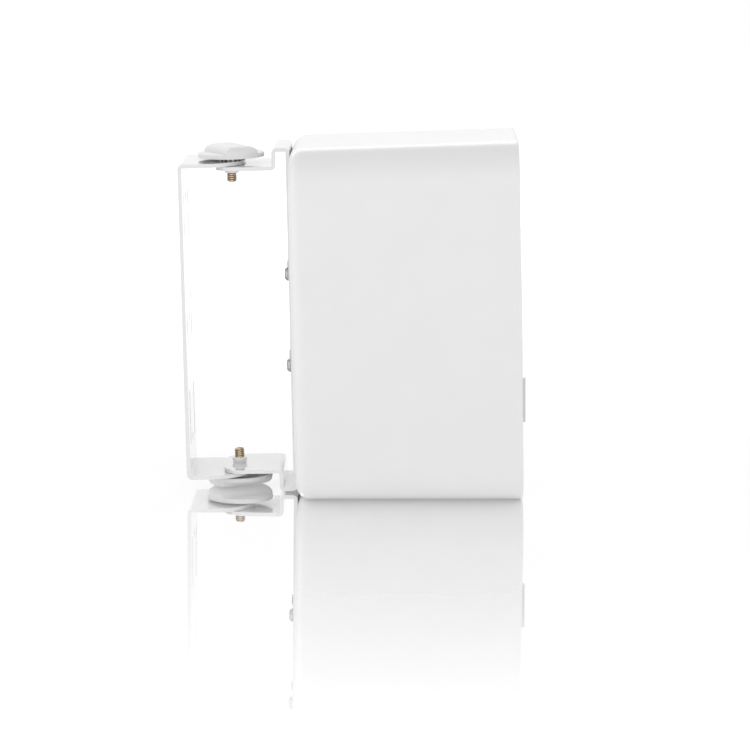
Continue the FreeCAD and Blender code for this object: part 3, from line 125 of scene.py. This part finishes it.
# Threads: the groove's profile is clipped at the crest and at the root, and the tip is tapered
THREAD_RADIUS = 3.175 * MM
THREAD_PITCH = 1.27 * MM
THREAD_DEPTH = 0.75 * MM
THREAD_ROWS = 10
THREAD_SIDES = 48
GROOVE_REACH = 1.15
GROOVE_SLOPE = 4.8
TIP_RUN = 0.7 * THREAD_PITCH
TIP_SHARE = 0.82
HEAD_LEAST_RADIUS = 1.2 * THREAD_RADIUS
HEXAGON = 6

# Cross recesses of the strap's screws
STRAP_HEAD_RADIUS = 4.5 * MM
RECESS_SPAN = 4.6 * MM
RECESS_WIDTH = 1.1 * MM
RECESS_DEPTH = 1.6 * MM

# Angles in degrees above which an edge stays sharp
MOULDED_CREASE = 35
THREAD_CREASE = 50
HEAD_CREASE = 30

# Finishes
NOISE_LOW = 0.25
NOISE_HIGH = 0.75
TONE_DETAIL = 3
GRAIN_DETAIL = 4
BUMP_STRENGTH = 0.5
COAT_ROUGHNESS = 0.06


# Material helpers

def new_material(name):
    material = bpy.data.materials.new(name)
    material.use_nodes = True
    tree = material.node_tree
    return material, tree, tree.nodes["Principled BSDF"]


def noise(tree, per_metre, detail):
    """Noise in the frame's own coordinates, so it stays on the piece."""
    place = tree.nodes.new("ShaderNodeTexCoord")
    texture = tree.nodes.new("ShaderNodeTexNoise")
    texture.inputs["Scale"].default_value = per_metre
    texture.inputs["Detail"].default_value = detail
    tree.links.new(place.outputs["Object"], texture.inputs["Vector"])
    return texture.outputs["Fac"]


def map_range(tree, value, to_min, to_max, from_min=0.0, from_max=1.0):
    span = tree.nodes.new("ShaderNodeMapRange")
    span.inputs["From Min"].default_value = from_min
    span.inputs["From Max"].default_value = from_max
    span.inputs["To Min"].default_value = to_min
    span.inputs["To Max"].default_value = to_max
    tree.links.new(value, span.inputs["Value"])
    return span


def spread(tree, factor, low, high):
    return map_range(tree, factor, low, high, NOISE_LOW, NOISE_HIGH).outputs["Result"]


def combine(tree, operation, first, second):
    node = tree.nodes.new("ShaderNodeMath")
    node.operation = operation
    tree.links.new(first, node.inputs[0])
    tree.links.new(second, node.inputs[1])
    return node.outputs[0]


def two_tones(tree, factor, first, second):
    mix = tree.nodes.new("ShaderNodeMix")
    mix.data_type = "RGBA"
    mix.inputs["A"].default_value = (*first, 1)
    mix.inputs["B"].default_value = (*second, 1)
    tree.links.new(factor, mix.inputs["Factor"])
    return mix.outputs["Result"]


# Finishes of the material slots

def finish(name, tones, roughness, grain, relief, metallic=0.0, patch=25.0, coat=0.0, edge=1.0):
    """Two tones in soft patches, and a fine grain that sets the roughness and the relief.

    The grain, its relief and the patches are in millimetres, the roughness is a range, and
    edge tints the reflection at grazing angles: below 1 it is painted shade there, darkening
    what the surface mirrors as if the surroundings were darker than the white world.
    """
    material, tree, shader = new_material(name)
    shader.inputs["Metallic"].default_value = metallic
    # Painted shade: an edge below 1 darkens the grazing reflection, standing in for darker surroundings.
    shader.inputs["Specular Tint"].default_value = (edge, edge, edge, 1)
    shader.inputs["Coat Weight"].default_value = coat
    shader.inputs["Coat Roughness"].default_value = COAT_ROUGHNESS
    patches = noise(tree, 1 / (patch * MM), TONE_DETAIL)
    tone = two_tones(tree, spread(tree, patches, 0, 1), *tones)
    tree.links.new(tone, shader.inputs["Base Color"])
    fine = noise(tree, 1 / (grain * MM), GRAIN_DETAIL)
    tree.links.new(spread(tree, fine, *roughness), shader.inputs["Roughness"])
    bump = tree.nodes.new("ShaderNodeBump")
    bump.inputs["Strength"].default_value = BUMP_STRENGTH
    bump.inputs["Distance"].default_value = relief * MM
    tree.links.new(fine, bump.inputs["Height"])
    tree.links.new(bump.outputs["Normal"], shader.inputs["Normal"])
    return material


def greys(first, second):
    return (first, first, first), (second, second, second)


def dark_plastic(level):
    return dict(tones=greys(level, level * 1.3), roughness=(0.42, 0.58), grain=0.5, relief=0.03)


LOOKS = {
    "cabinet_white": dict(tones=greys(0.83, 0.845), roughness=(0.30, 0.38), grain=0.45, relief=0.008),
    "bracket_white": dict(tones=greys(0.80, 0.815), roughness=(0.10, 0.16), grain=1.1, relief=0.006, coat=1.0),
    "knob_white": dict(tones=greys(0.785, 0.80), roughness=(0.46, 0.56), grain=0.6, relief=0.006),
    # Painted shade: edge 0.35 darkens the yellow zinc's grazing reflection, standing in for darker
    # surroundings.
    "yellow_zinc": dict(
        tones=((0.66, 0.54, 0.40), (0.55, 0.43, 0.32)), roughness=(0.14, 0.26), grain=0.4, relief=0.004,
        metallic=1.0, patch=2.0, edge=0.35,
    ),
    # Painted shade: edge 0.4 darkens the bright zinc's grazing reflection, standing in for darker
    # surroundings.
    "bright_zinc": dict(
        tones=((0.44, 0.44, 0.44), (0.50, 0.50, 0.52)), roughness=(0.20, 0.36), grain=0.35, relief=0.004,
        metallic=1.0, patch=3.0, edge=0.4,
    ),
    "insert_brass": dict(
        tones=((0.71, 0.56, 0.29), (0.62, 0.47, 0.22)), roughness=(0.25, 0.42), grain=0.3, relief=0.004,
        metallic=1.0, patch=3.0,
    ),
    "grille_white": dict(tones=greys(0.82, 0.84), roughness=(0.36, 0.46), grain=0.7, relief=0.010),
    "badge_white": dict(tones=greys(0.71, 0.74), roughness=(0.22, 0.30), grain=0.4, relief=0.003),
    "baffle_black": dark_plastic(0.028),
    "gasket_foam": dict(tones=greys(0.035, 0.07), roughness=(0.85, 0.95), grain=0.8, relief=0.15),
    "basket_black": dict(tones=greys(0.035, 0.05), roughness=(0.40, 0.55), grain=0.9, relief=0.02),
    "cone_black": dict(tones=greys(0.045, 0.075), roughness=(0.60, 0.75), grain=1.2, relief=0.06),
    "surround_rubber": dict(tones=greys(0.026, 0.036), roughness=(0.50, 0.62), grain=0.7, relief=0.01),
    "spider_cloth": dict(
        tones=((0.57, 0.43, 0.22), (0.48, 0.35, 0.17)), roughness=(0.75, 0.90), grain=0.6, relief=0.12,
    ),
    "coil_copper": dict(
        tones=((0.62, 0.31, 0.16), (0.52, 0.24, 0.12)), roughness=(0.25, 0.38), grain=0.3, relief=0.02,
        metallic=1.0, patch=4.0,
    ),
    "motor_steel": dict(
        tones=((0.42, 0.42, 0.42), (0.48, 0.48, 0.50)), roughness=(0.28, 0.42), grain=0.4, relief=0.006,
        metallic=1.0, patch=8.0,
    ),
    "magnet_ferrite": dict(
        tones=((0.09, 0.09, 0.10), (0.12, 0.12, 0.13)), roughness=(0.55, 0.70), grain=0.5, relief=0.02,
    ),
    "tweeter_black": dark_plastic(0.035),
    "dome_silk": dict(
        tones=((0.05, 0.05, 0.06), (0.075, 0.075, 0.085)), roughness=(0.55, 0.70), grain=0.35, relief=0.03,
    ),
    "board_green": dict(
        tones=((0.04, 0.19, 0.09), (0.06, 0.24, 0.12)), roughness=(0.28, 0.40), grain=0.8, relief=0.01,
    ),
    "capacitor_film": dict(
        tones=((0.62, 0.50, 0.12), (0.56, 0.44, 0.09)), roughness=(0.20, 0.30), grain=1.0, relief=0.01,
    ),
    "resistor_cement": dict(
        tones=((0.75, 0.73, 0.68), (0.68, 0.66, 0.60)), roughness=(0.80, 0.92), grain=0.5, relief=0.06,
    ),
    "terminal_black": dark_plastic(0.04),
    "lead_jacket": dict(tones=greys(0.08, 0.11), roughness=(0.50, 0.62), grain=0.7, relief=0.01),
    "wadding_fibre": dict(
        tones=((0.74, 0.74, 0.74), (0.82, 0.82, 0.80)), roughness=(0.90, 1.0), grain=1.6, relief=0.5,
    ),
}
FINISHES = {name: finish(name, **look) for name, look in LOOKS.items()}


def dress_nodes():
    """Gives every CAD node the finish of its material slot."""
    for row in frame["record"]["subparts"]:
        mesh = frame["nodes"][row["node"]].data
        mesh.materials.clear()
        mesh.materials.append(FINISHES[row["material_slot"]])


# Mesh helpers

def make_piece(name, points, faces, body, slot, *nodes):
    """A new mesh piece that rides on a body and stands for the named nodes."""
    mesh = bpy.data.meshes.new(name)
    mesh.from_pydata([tuple(p) for p in points], [], faces)
    mesh.validate()
    piece = bpy.data.objects.new(name, mesh)
    bpy.context.scene.collection.objects.link(piece)
    return settle_piece(piece, body, slot, *nodes)


def settle_piece(piece, body, slot, *nodes):
    """Turns the faces outward and gives the piece its finish, its body and its nodes."""
    mesh = piece.data
    graph = bmesh.new()
    graph.from_mesh(mesh)
    bmesh.ops.recalc_face_normals(graph, faces=graph.faces)
    graph.to_mesh(mesh)
    graph.free()
    mesh.materials.clear()
    mesh.materials.append(FINISHES[slot])
    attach(piece, body)
    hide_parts(*nodes)
    return piece


def smooth_below(piece, angle):
    mesh = piece.data
    mesh.polygons.foreach_set("use_smooth", [True] * len(mesh.polygons))
    mesh.set_sharp_from_angle(angle=math.radians(angle))


def add_ring(points, ring):
    """Adds the ring's points and gives their numbers."""
    start = len(points)
    points.extend(Vector(p) for p in ring)
    return list(range(start, len(points)))


def join_rings(faces, rings, closed):
    """Quads between neighbouring rings, and between the last and the first where the profile closes."""
    pairs = list(zip(rings, rings[1:]))
    if closed:
        pairs.append((rings[-1], rings[0]))
    for first, second in pairs:
        for k in range(len(first)):
            following = (k + 1) % len(first)
            faces.append([first[k], first[following], second[following], second[k]])


def matched(ring, pattern):
    """The ring's points, resampled so that it has as many as the pattern."""
    if len(ring) == len(pattern):
        return ring
    picked = []
    for i in range(len(pattern)):
        picked.append(ring[round(i * len(ring) / len(pattern)) % len(ring)])
    return picked


def quarter_turn(steps):
    return [math.pi / 2 * step / steps for step in range(steps + 1)]


def full_turn(sides):
    return [2 * math.pi * side / sides for side in range(sides)]


def rounded_outline(half_width, half_height, radius):
    """Points round a rounded rectangle in the YZ plane, close enough to follow a crown."""
    points = []
    for quarter in range(4):
        turn = math.pi / 2 * quarter
        sign_y = 1 if quarter in (0, 3) else -1
        sign_z = 1 if quarter in (0, 1) else -1
        centre = (sign_y * (half_width - radius), sign_z * (half_height - radius))
        for step in range(CORNER_STEPS + 1):
            angle = turn + math.pi / 2 * step / CORNER_STEPS
            points.append((centre[0] + radius * math.cos(angle), centre[1] + radius * math.sin(angle)))
    dense = []
    for i, first in enumerate(points):
        second = points[(i + 1) % len(points)]
        count = max(1, round(math.dist(first, second) / EDGE_STEP))
        for k in range(count):
            share = k / count
            dense.append(tuple(a + (b - a) * share for a, b in zip(first, second)))
    return dense


# Perforated grille

def crown(y, z, top, half_width, half_height):
    """Front of the grille: an arc across, swung along a larger arc up the front."""
    across = (half_width ** 2 + CROWN_SAG_ACROSS ** 2) / (2 * CROWN_SAG_ACROSS)
    upward = (half_height ** 2 + CROWN_SAG_UP ** 2) / (2 * CROWN_SAG_UP)
    reach = upward - across + math.sqrt(across ** 2 - y ** 2)
    return top - upward + math.sqrt(reach ** 2 - z ** 2)


def perforation_centres(half_width, half_height):
    """Staggered rows over the front, clear of its rim and of the badge."""
    row_pitch = PERFORATION_PITCH * math.sqrt(3) / 2
    rows = int(half_height / row_pitch)
    columns = int(half_width / PERFORATION_PITCH) + 1
    low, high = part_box("badge")
    reach = PERFORATION_RADIUS + PERFORATION_MARGIN
    radius = GRILLE_CORNER
    centres = []
    for row in range(-rows, rows + 1):
        for column in range(-columns, columns + 1):
            y = (column + row % 2 / 2) * PERFORATION_PITCH
            z = row * row_pitch
            over_y = max(abs(y) - half_width + radius, 0)
            over_z = max(abs(z) - half_height + radius, 0)
            under_badge = low.y < y < high.y and low.z < z < high.z
            if math.hypot(over_y, over_z) < radius - reach and not under_badge:
                centres.append((y, z))
    return centres


def perforated_grille():
    """A crowned sheet with round holes, a rounded rim and a skirt that is open at the back."""
    low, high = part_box("front_grille")
    _, shell_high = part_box("cabinet_shell")
    half_width = high.y
    half_height = high.z
    face_width = half_width - GRILLE_EDGE_ROUND
    face_height = half_height - GRILLE_EDGE_ROUND
    face_corner = GRILLE_CORNER - GRILLE_EDGE_ROUND
    outline = rounded_outline(face_width, face_height, face_corner)
    flat = [Vector(p) for p in outline]
    loops = [list(range(len(flat)))]
    for y, z in perforation_centres(half_width, half_height):
        start = len(flat)
        for angle in full_turn(PERFORATION_SIDES):
            hole_y = y + PERFORATION_RADIUS * math.cos(angle)
            hole_z = z + PERFORATION_RADIUS * math.sin(angle)
            flat.append(Vector((hole_y, hole_z)))
        loops.append(list(range(start, len(flat))))
    sheet = delaunay_2d_cdt(flat, [], loops, INSIDE_WITH_HOLES, MERGE_DISTANCE)
    spots, _, triangles, origins, _, _ = sheet
    place_of = {old: new for new, olds in enumerate(origins) for old in olds}

    def front(y, z):
        return crown(y, z, high.x, shell_high.y, shell_high.z)

    count = len(spots)
    points = [Vector((front(p.x, p.y), p.x, p.y)) for p in spots]
    points += [p - Vector((GRILLE_SHEET, 0, 0)) for p in points]
    faces = [list(t) for t in triangles]
    faces += [[i + count for i in reversed(t)] for t in triangles]
    for loop in loops[1:]:
        ring = [place_of[i] for i in loop]
        for a, b in zip(ring, ring[1:] + ring[:1]):
            faces.append([a, b, b + count, a + count])

    edge = [place_of[i] for i in loops[0]]
    rings = [edge]
    for turn in quarter_turn(GRILLE_EDGE_STEPS)[1:]:
        grow = GRILLE_EDGE_ROUND * math.sin(turn)
        drop = GRILLE_EDGE_ROUND * (1 - math.cos(turn))
        ring = rounded_outline(face_width + grow, face_height + grow, face_corner + grow)
        rings.append(add_ring(points, [(front(y, z) - drop, y, z) for y, z in matched(ring, outline)]))
    for inset in (0, GRILLE_SHEET):
        ring = rounded_outline(half_width - inset, half_height - inset, GRILLE_CORNER - inset)
        rings.append(add_ring(points, [(low.x, y, z) for y, z in matched(ring, outline)]))
    rings.append([i + count for i in edge])
    join_rings(faces, rings, False)
    piece = make_piece("perforated_grille", points, faces, "speaker", "grille_white", "front_grille")
    smooth_below(piece, MOULDED_CREASE)


# Knobs

def grip_outline(radius, half_width):
    """Points round a disc cut to a bar along its first axis, with rounded corners."""
    disc = radius - GRIP_CORNER
    half = half_width - GRIP_CORNER
    corner = math.asin(half / disc)
    end = disc * math.cos(corner)
    points = []
    for step in range(-ROUND_STEPS, ROUND_STEPS + 1):
        angle = corner * step / ROUND_STEPS
        points.append((radius * math.cos(angle), radius * math.sin(angle)))
    for step in range(1, ROUND_STEPS + 1):
        angle = corner + (math.pi / 2 - corner) * step / ROUND_STEPS
        points.append((end + GRIP_CORNER * math.cos(angle), half + GRIP_CORNER * math.sin(angle)))
    for step in range(1, ROUND_STEPS):
        points.append((end - 2 * end * step / ROUND_STEPS, half_width))
    for step in range(ROUND_STEPS):
        angle = math.pi / 2 + (math.pi / 2 - corner) * step / ROUND_STEPS
        points.append((GRIP_CORNER * math.cos(angle) - end, half + GRIP_CORNER * math.sin(angle)))
    return points + [(-x, -y) for x, y in points]


def rounded_knob(name, node, axis, outward):
    """Flange turned about the pivot, and the grip bar with its upper edges rounded over."""
    low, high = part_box(node)
    centre = (low + high) / 2
    base = low.z if outward > 0 else high.z
    height = high.z - low.z
    radius = (high.x - low.x) / 2
    points = []
    faces = []

    def place(x, y, rise):
        turned_x = x * math.cos(axis) - y * math.sin(axis)
        turned_y = x * math.sin(axis) + y * math.cos(axis)
        return (centre.x + turned_x, centre.y + turned_y, base + outward * rise)

    profile = [
        (KNOB_BORE_RADIUS, 0), (KNOB_HUB_RADIUS, 0), (KNOB_HUB_RADIUS, KNOB_HOLLOW),
        (radius - KNOB_RIM, KNOB_HOLLOW), (radius - KNOB_RIM, 0), (radius, 0),
    ]
    for angle in quarter_turn(ROUND_STEPS):
        reach = radius - KNOB_FLANGE_ROUND * (1 - math.cos(angle))
        profile.append((reach, KNOB_FLANGE - KNOB_FLANGE_ROUND * (1 - math.sin(angle))))
    profile.append((KNOB_BORE_RADIUS, KNOB_FLANGE))
    turns = full_turn(LATHE_SIDES)
    rings = []
    for reach, rise in profile:
        ring = [place(reach * math.cos(t), reach * math.sin(t), rise) for t in turns]
        rings.append(add_ring(points, ring))
    join_rings(faces, rings, True)

    grip = radius - GRIP_INSET
    levels = [(0, KNOB_FLANGE - KNOB_FLANGE_ROUND)]
    for angle in quarter_turn(ROUND_STEPS):
        inset = GRIP_EDGE_RUN * (1 - math.cos(angle))
        levels.append((inset, height - GRIP_EDGE_DROP * (1 - math.sin(angle))))
    rings = []
    for inset, rise in levels:
        outline = grip_outline(grip - inset, GRIP_HALF_WIDTH - inset)
        rings.append(add_ring(points, [place(x, y, rise) for x, y in outline]))
    join_rings(faces, rings, False)
    faces.append(rings[0])
    faces.append(rings[-1])
    piece = make_piece(name, points, faces, node, "knob_white", node)
    smooth_below(piece, MOULDED_CREASE)


# Threaded screws and cross recesses

def threaded_screw(name, node, body, outward):
    """A screw along Z: a rolled thread from the tip to the head, and the hexagonal head in the knob."""
    low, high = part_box(node)
    centre_x = (low.x + high.x) / 2
    source = frame["nodes"][node].data
    tip = low.z if outward > 0 else high.z
    head_end = high.z if outward > 0 else low.z
    reach = [math.hypot(v.co.x - centre_x, v.co.y) for v in source.vertices]
    head_levels = [v.co.z for v, r in zip(source.vertices, reach) if r > HEAD_LEAST_RADIUS]
    head_start = min(head_levels) if outward > 0 else max(head_levels)
    head_radius = max(reach)
    corner_spot = source.vertices[reach.index(head_radius)].co
    head_turn = math.atan2(corner_spot.y, corner_spot.x - centre_x)
    length = abs(head_start - tip)
    rows = round(length / THREAD_PITCH * THREAD_ROWS)
    points = []
    faces = []

    def place(radius, angle, level):
        return (centre_x + radius * math.cos(angle), radius * math.sin(angle), level)

    rings = []
    for row in range(rows + 1):
        along = length * row / rows
        taper = TIP_SHARE + (1 - TIP_SHARE) * min(1, along / TIP_RUN)
        ring = []
        for angle in full_turn(THREAD_SIDES):
            phase = (along / THREAD_PITCH - outward * angle / (2 * math.pi)) % 1
            groove = THREAD_DEPTH * min(1, max(0, GROOVE_REACH - abs(phase - 0.5) * GROOVE_SLOPE))
            ring.append(place((THREAD_RADIUS - groove) * taper, angle, tip + outward * along))
        rings.append(add_ring(points, ring))
    head_rings = []
    for level in (head_start, head_end):
        ring = [place(head_radius, head_turn + angle, level) for angle in full_turn(HEXAGON)]
        head_rings.append(add_ring(points, ring))
    for solid in (rings, head_rings):
        join_rings(faces, solid, False)
        faces.append(solid[0])
        faces.append(solid[-1])
    piece = make_piece(name, points, faces, body, "yellow_zinc", node)
    smooth_below(piece, THREAD_CREASE)


def recessed_screws():
    """The strap's pan-head screws with a cross recess sunk in each head."""
    source = frame["nodes"]["bracket_screws"]
    piece = bpy.data.objects.new("recessed_screws", source.data.copy())
    bpy.context.scene.collection.objects.link(piece)
    low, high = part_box("bracket_screws")
    cutter_mesh = bpy.data.meshes.new("recess_cutter")
    graph = bmesh.new()
    for y in (low.y + STRAP_HEAD_RADIUS, high.y - STRAP_HEAD_RADIUS):
        for z in (low.z + STRAP_HEAD_RADIUS, high.z - STRAP_HEAD_RADIUS):
            for size in ((RECESS_SPAN, RECESS_WIDTH), (RECESS_WIDTH, RECESS_SPAN)):
                scale = Matrix.Diagonal((2 * RECESS_DEPTH, *size, 1))
                place = Matrix.Translation((low.x, y, z))
                bmesh.ops.create_cube(graph, size=1, matrix=place @ scale)
    graph.to_mesh(cutter_mesh)
    graph.free()
    cutter = bpy.data.objects.new("recess_cutter", cutter_mesh)
    bpy.context.scene.collection.objects.link(cutter)
    cut = piece.modifiers.new("recess", "BOOLEAN")
    cut.object = cutter
    cut.operation = "DIFFERENCE"
    cut.solver = "EXACT"
    cut.use_self = True
    graph_view = bpy.context.evaluated_depsgraph_get()
    cut_mesh = bpy.data.meshes.new_from_object(piece.evaluated_get(graph_view))
    piece.modifiers.clear()
    piece.data = cut_mesh
    bpy.data.objects.remove(cutter)
    settle_piece(piece, "speaker", "bright_zinc", "bracket_screws")
    smooth_below(piece, HEAD_CREASE)


# Stage

def seen_rays(tree):
    """The light path node, and 1 for what the camera or a reflection sees."""
    path = tree.nodes.new("ShaderNodeLightPath")
    seen = combine(tree, "MAXIMUM", path.outputs["Is Camera Ray"], path.outputs["Is Glossy Ray"])
    return path, seen


def floor_material():
    """Pale polished floor: white to the eye, soft shadow kept, a painted shadow near the object where its seen
    glow is lower, mirror strongest near the object.
    """
    material, tree, shader = new_material("floor")
    tree.nodes.remove(shader)
    nodes = tree.nodes
    _, seen = seen_rays(tree)
    place = nodes.new("ShaderNodeTexCoord").outputs["Object"]
    length = nodes.new("ShaderNodeVectorMath")
    length.operation = "LENGTH"
    tree.links.new(place, length.inputs[0])
    reach = length.outputs["Value"]
    axes = nodes.new("ShaderNodeSeparateXYZ")
    tree.links.new(place, axes.inputs[0])

    diffuse = nodes.new("ShaderNodeBsdfDiffuse")
    diffuse.inputs["Color"].default_value = (FLOOR_GREY, FLOOR_GREY, FLOOR_GREY, 1)
    glow = nodes.new("ShaderNodeEmission")
    glow.inputs["Color"].default_value = (1, 1, 1, 1)
    # Painted shadow: the glow that the camera and reflections see is lower near the object than far away.
    seen_glow_painted_shadow = map_range(tree, reach, GLOW_NEAR_PAINTED_SHADOW, GLOW_FAR, MIRROR_NEAR, MIRROR_FAR)
    level = map_range(tree, seen, FLOOR_BOUNCE, GLOW_FAR)
    tree.links.new(seen_glow_painted_shadow.outputs["Result"], level.inputs["To Max"])
    tree.links.new(level.outputs["Result"], glow.inputs["Strength"])
    base = nodes.new("ShaderNodeAddShader")
    tree.links.new(diffuse.outputs[0], base.inputs[0])
    tree.links.new(glow.outputs[0], base.inputs[1])

    mirror = nodes.new("ShaderNodeBsdfGlossy")
    mirror.inputs["Color"].default_value = (1, 1, 1, 1)
    mirror.inputs["Roughness"].default_value = MIRROR_ROUGHNESS
    fade = map_range(tree, reach, MIRROR_SHARE, 0, MIRROR_NEAR, MIRROR_FAR)
    beside = map_range(tree, axes.outputs["X"], MIRROR_BESIDE, 1, BESIDE_FROM, BESIDE_TO)
    polish = combine(tree, "MULTIPLY", fade.outputs["Result"], beside.outputs["Result"])
    mix = nodes.new("ShaderNodeMixShader")
    tree.links.new(combine(tree, "MULTIPLY", polish, seen), mix.inputs["Fac"])
    tree.links.new(base.outputs[0], mix.inputs[1])
    tree.links.new(mirror.outputs[0], mix.inputs[2])
    tree.links.new(mix.outputs[0], nodes["Material Output"].inputs["Surface"])
    return material


def make_floor():
    low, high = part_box("cabinet_shell")
    half = FLOOR_SIZE / 2
    corners = [(-half, -half, 0), (half, -half, 0), (half, half, 0), (-half, half, 0)]
    mesh = bpy.data.meshes.new("floor")
    mesh.from_pydata(corners, [], [(0, 1, 2, 3)])
    mesh.materials.append(floor_material())
    floor = bpy.data.objects.new("floor", mesh)
    middle_x = (low.x + high.x) / 2
    drop = (high.x - middle_x) * math.tan(DRAFT_ANGLE)
    place = Matrix.Translation((middle_x, 0, low.z + drop - FLOOR_GAP))
    floor.matrix_world = place @ Matrix.Rotation(DRAFT_ANGLE, 4, "Y")
    bpy.context.scene.collection.objects.link(floor)


def make_world():
    """White to the camera, in reflections and through glass, an even fill for the rest."""
    world = bpy.data.worlds.new("studio")
    world.use_nodes = True
    bpy.context.scene.world = world
    tree = world.node_tree
    background = tree.nodes["Background"]
    background.inputs["Color"].default_value = (1, 1, 1, 1)
    path, seen = seen_rays(tree)
    clear = combine(tree, "MAXIMUM", seen, path.outputs["Is Transmission Ray"])
    level = map_range(tree, clear, WORLD_FILL, WORLD_SEEN)
    tree.links.new(level.outputs["Result"], background.inputs["Strength"])


def make_lights():
    for name, (place, size, power) in LAMPS.items():
        light = bpy.data.lights.new(name, "AREA")
        light.shape = "RECTANGLE"
        light.size, light.size_y = size
        light.energy = power
        lamp = bpy.data.objects.new(name, light)
        lamp.location = place
        aim = Vector(LAMP_TARGET) - Vector(place)
        lamp.rotation_euler = aim.to_track_quat("-Z", "Y").to_euler()
        bpy.context.scene.collection.objects.link(lamp)


def make_camera():
    camera = bpy.data.cameras.new("camera")
    camera.sensor_fit = "HORIZONTAL"
    camera.sensor_width = SENSOR_WIDTH
    camera.lens = SENSOR_WIDTH * FOCAL_PIXELS / IMAGE_SIZE
    forward = Vector((
        math.sin(CAMERA_YAW) * math.cos(CAMERA_PITCH),
        math.cos(CAMERA_YAW) * math.cos(CAMERA_PITCH),
        -math.sin(CAMERA_PITCH),
    ))
    right = Vector((math.cos(CAMERA_YAW), -math.sin(CAMERA_YAW), 0))
    up = right.cross(forward)
    rolled_right = right * math.cos(CAMERA_ROLL) + up * math.sin(CAMERA_ROLL)
    rolled_up = up * math.cos(CAMERA_ROLL) - right * math.sin(CAMERA_ROLL)
    turn = Matrix((rolled_right, rolled_up, -forward)).transposed().to_4x4()
    eye = bpy.data.objects.new("camera", camera)
    eye.matrix_world = Matrix.Translation(CAMERA_PLACE) @ turn
    bpy.context.scene.collection.objects.link(eye)
    bpy.context.scene.camera = eye


dress_nodes()
perforated_grille()
threaded_screw("threaded_screw_top", "knob_screw_top", "knob_top", 1)
threaded_screw("threaded_screw_bottom", "knob_screw_bottom", "knob_bottom", -1)
recessed_screws()
rounded_knob("rounded_knob_top", "knob_top", TOP_GRIP_AXIS, 1)
rounded_knob("rounded_knob_bottom", "knob_bottom", BOTTOM_GRIP_AXIS, -1)
make_floor()
make_world()
make_lights()
make_camera()
bpy.context.scene.view_settings.view_transform = "Standard"
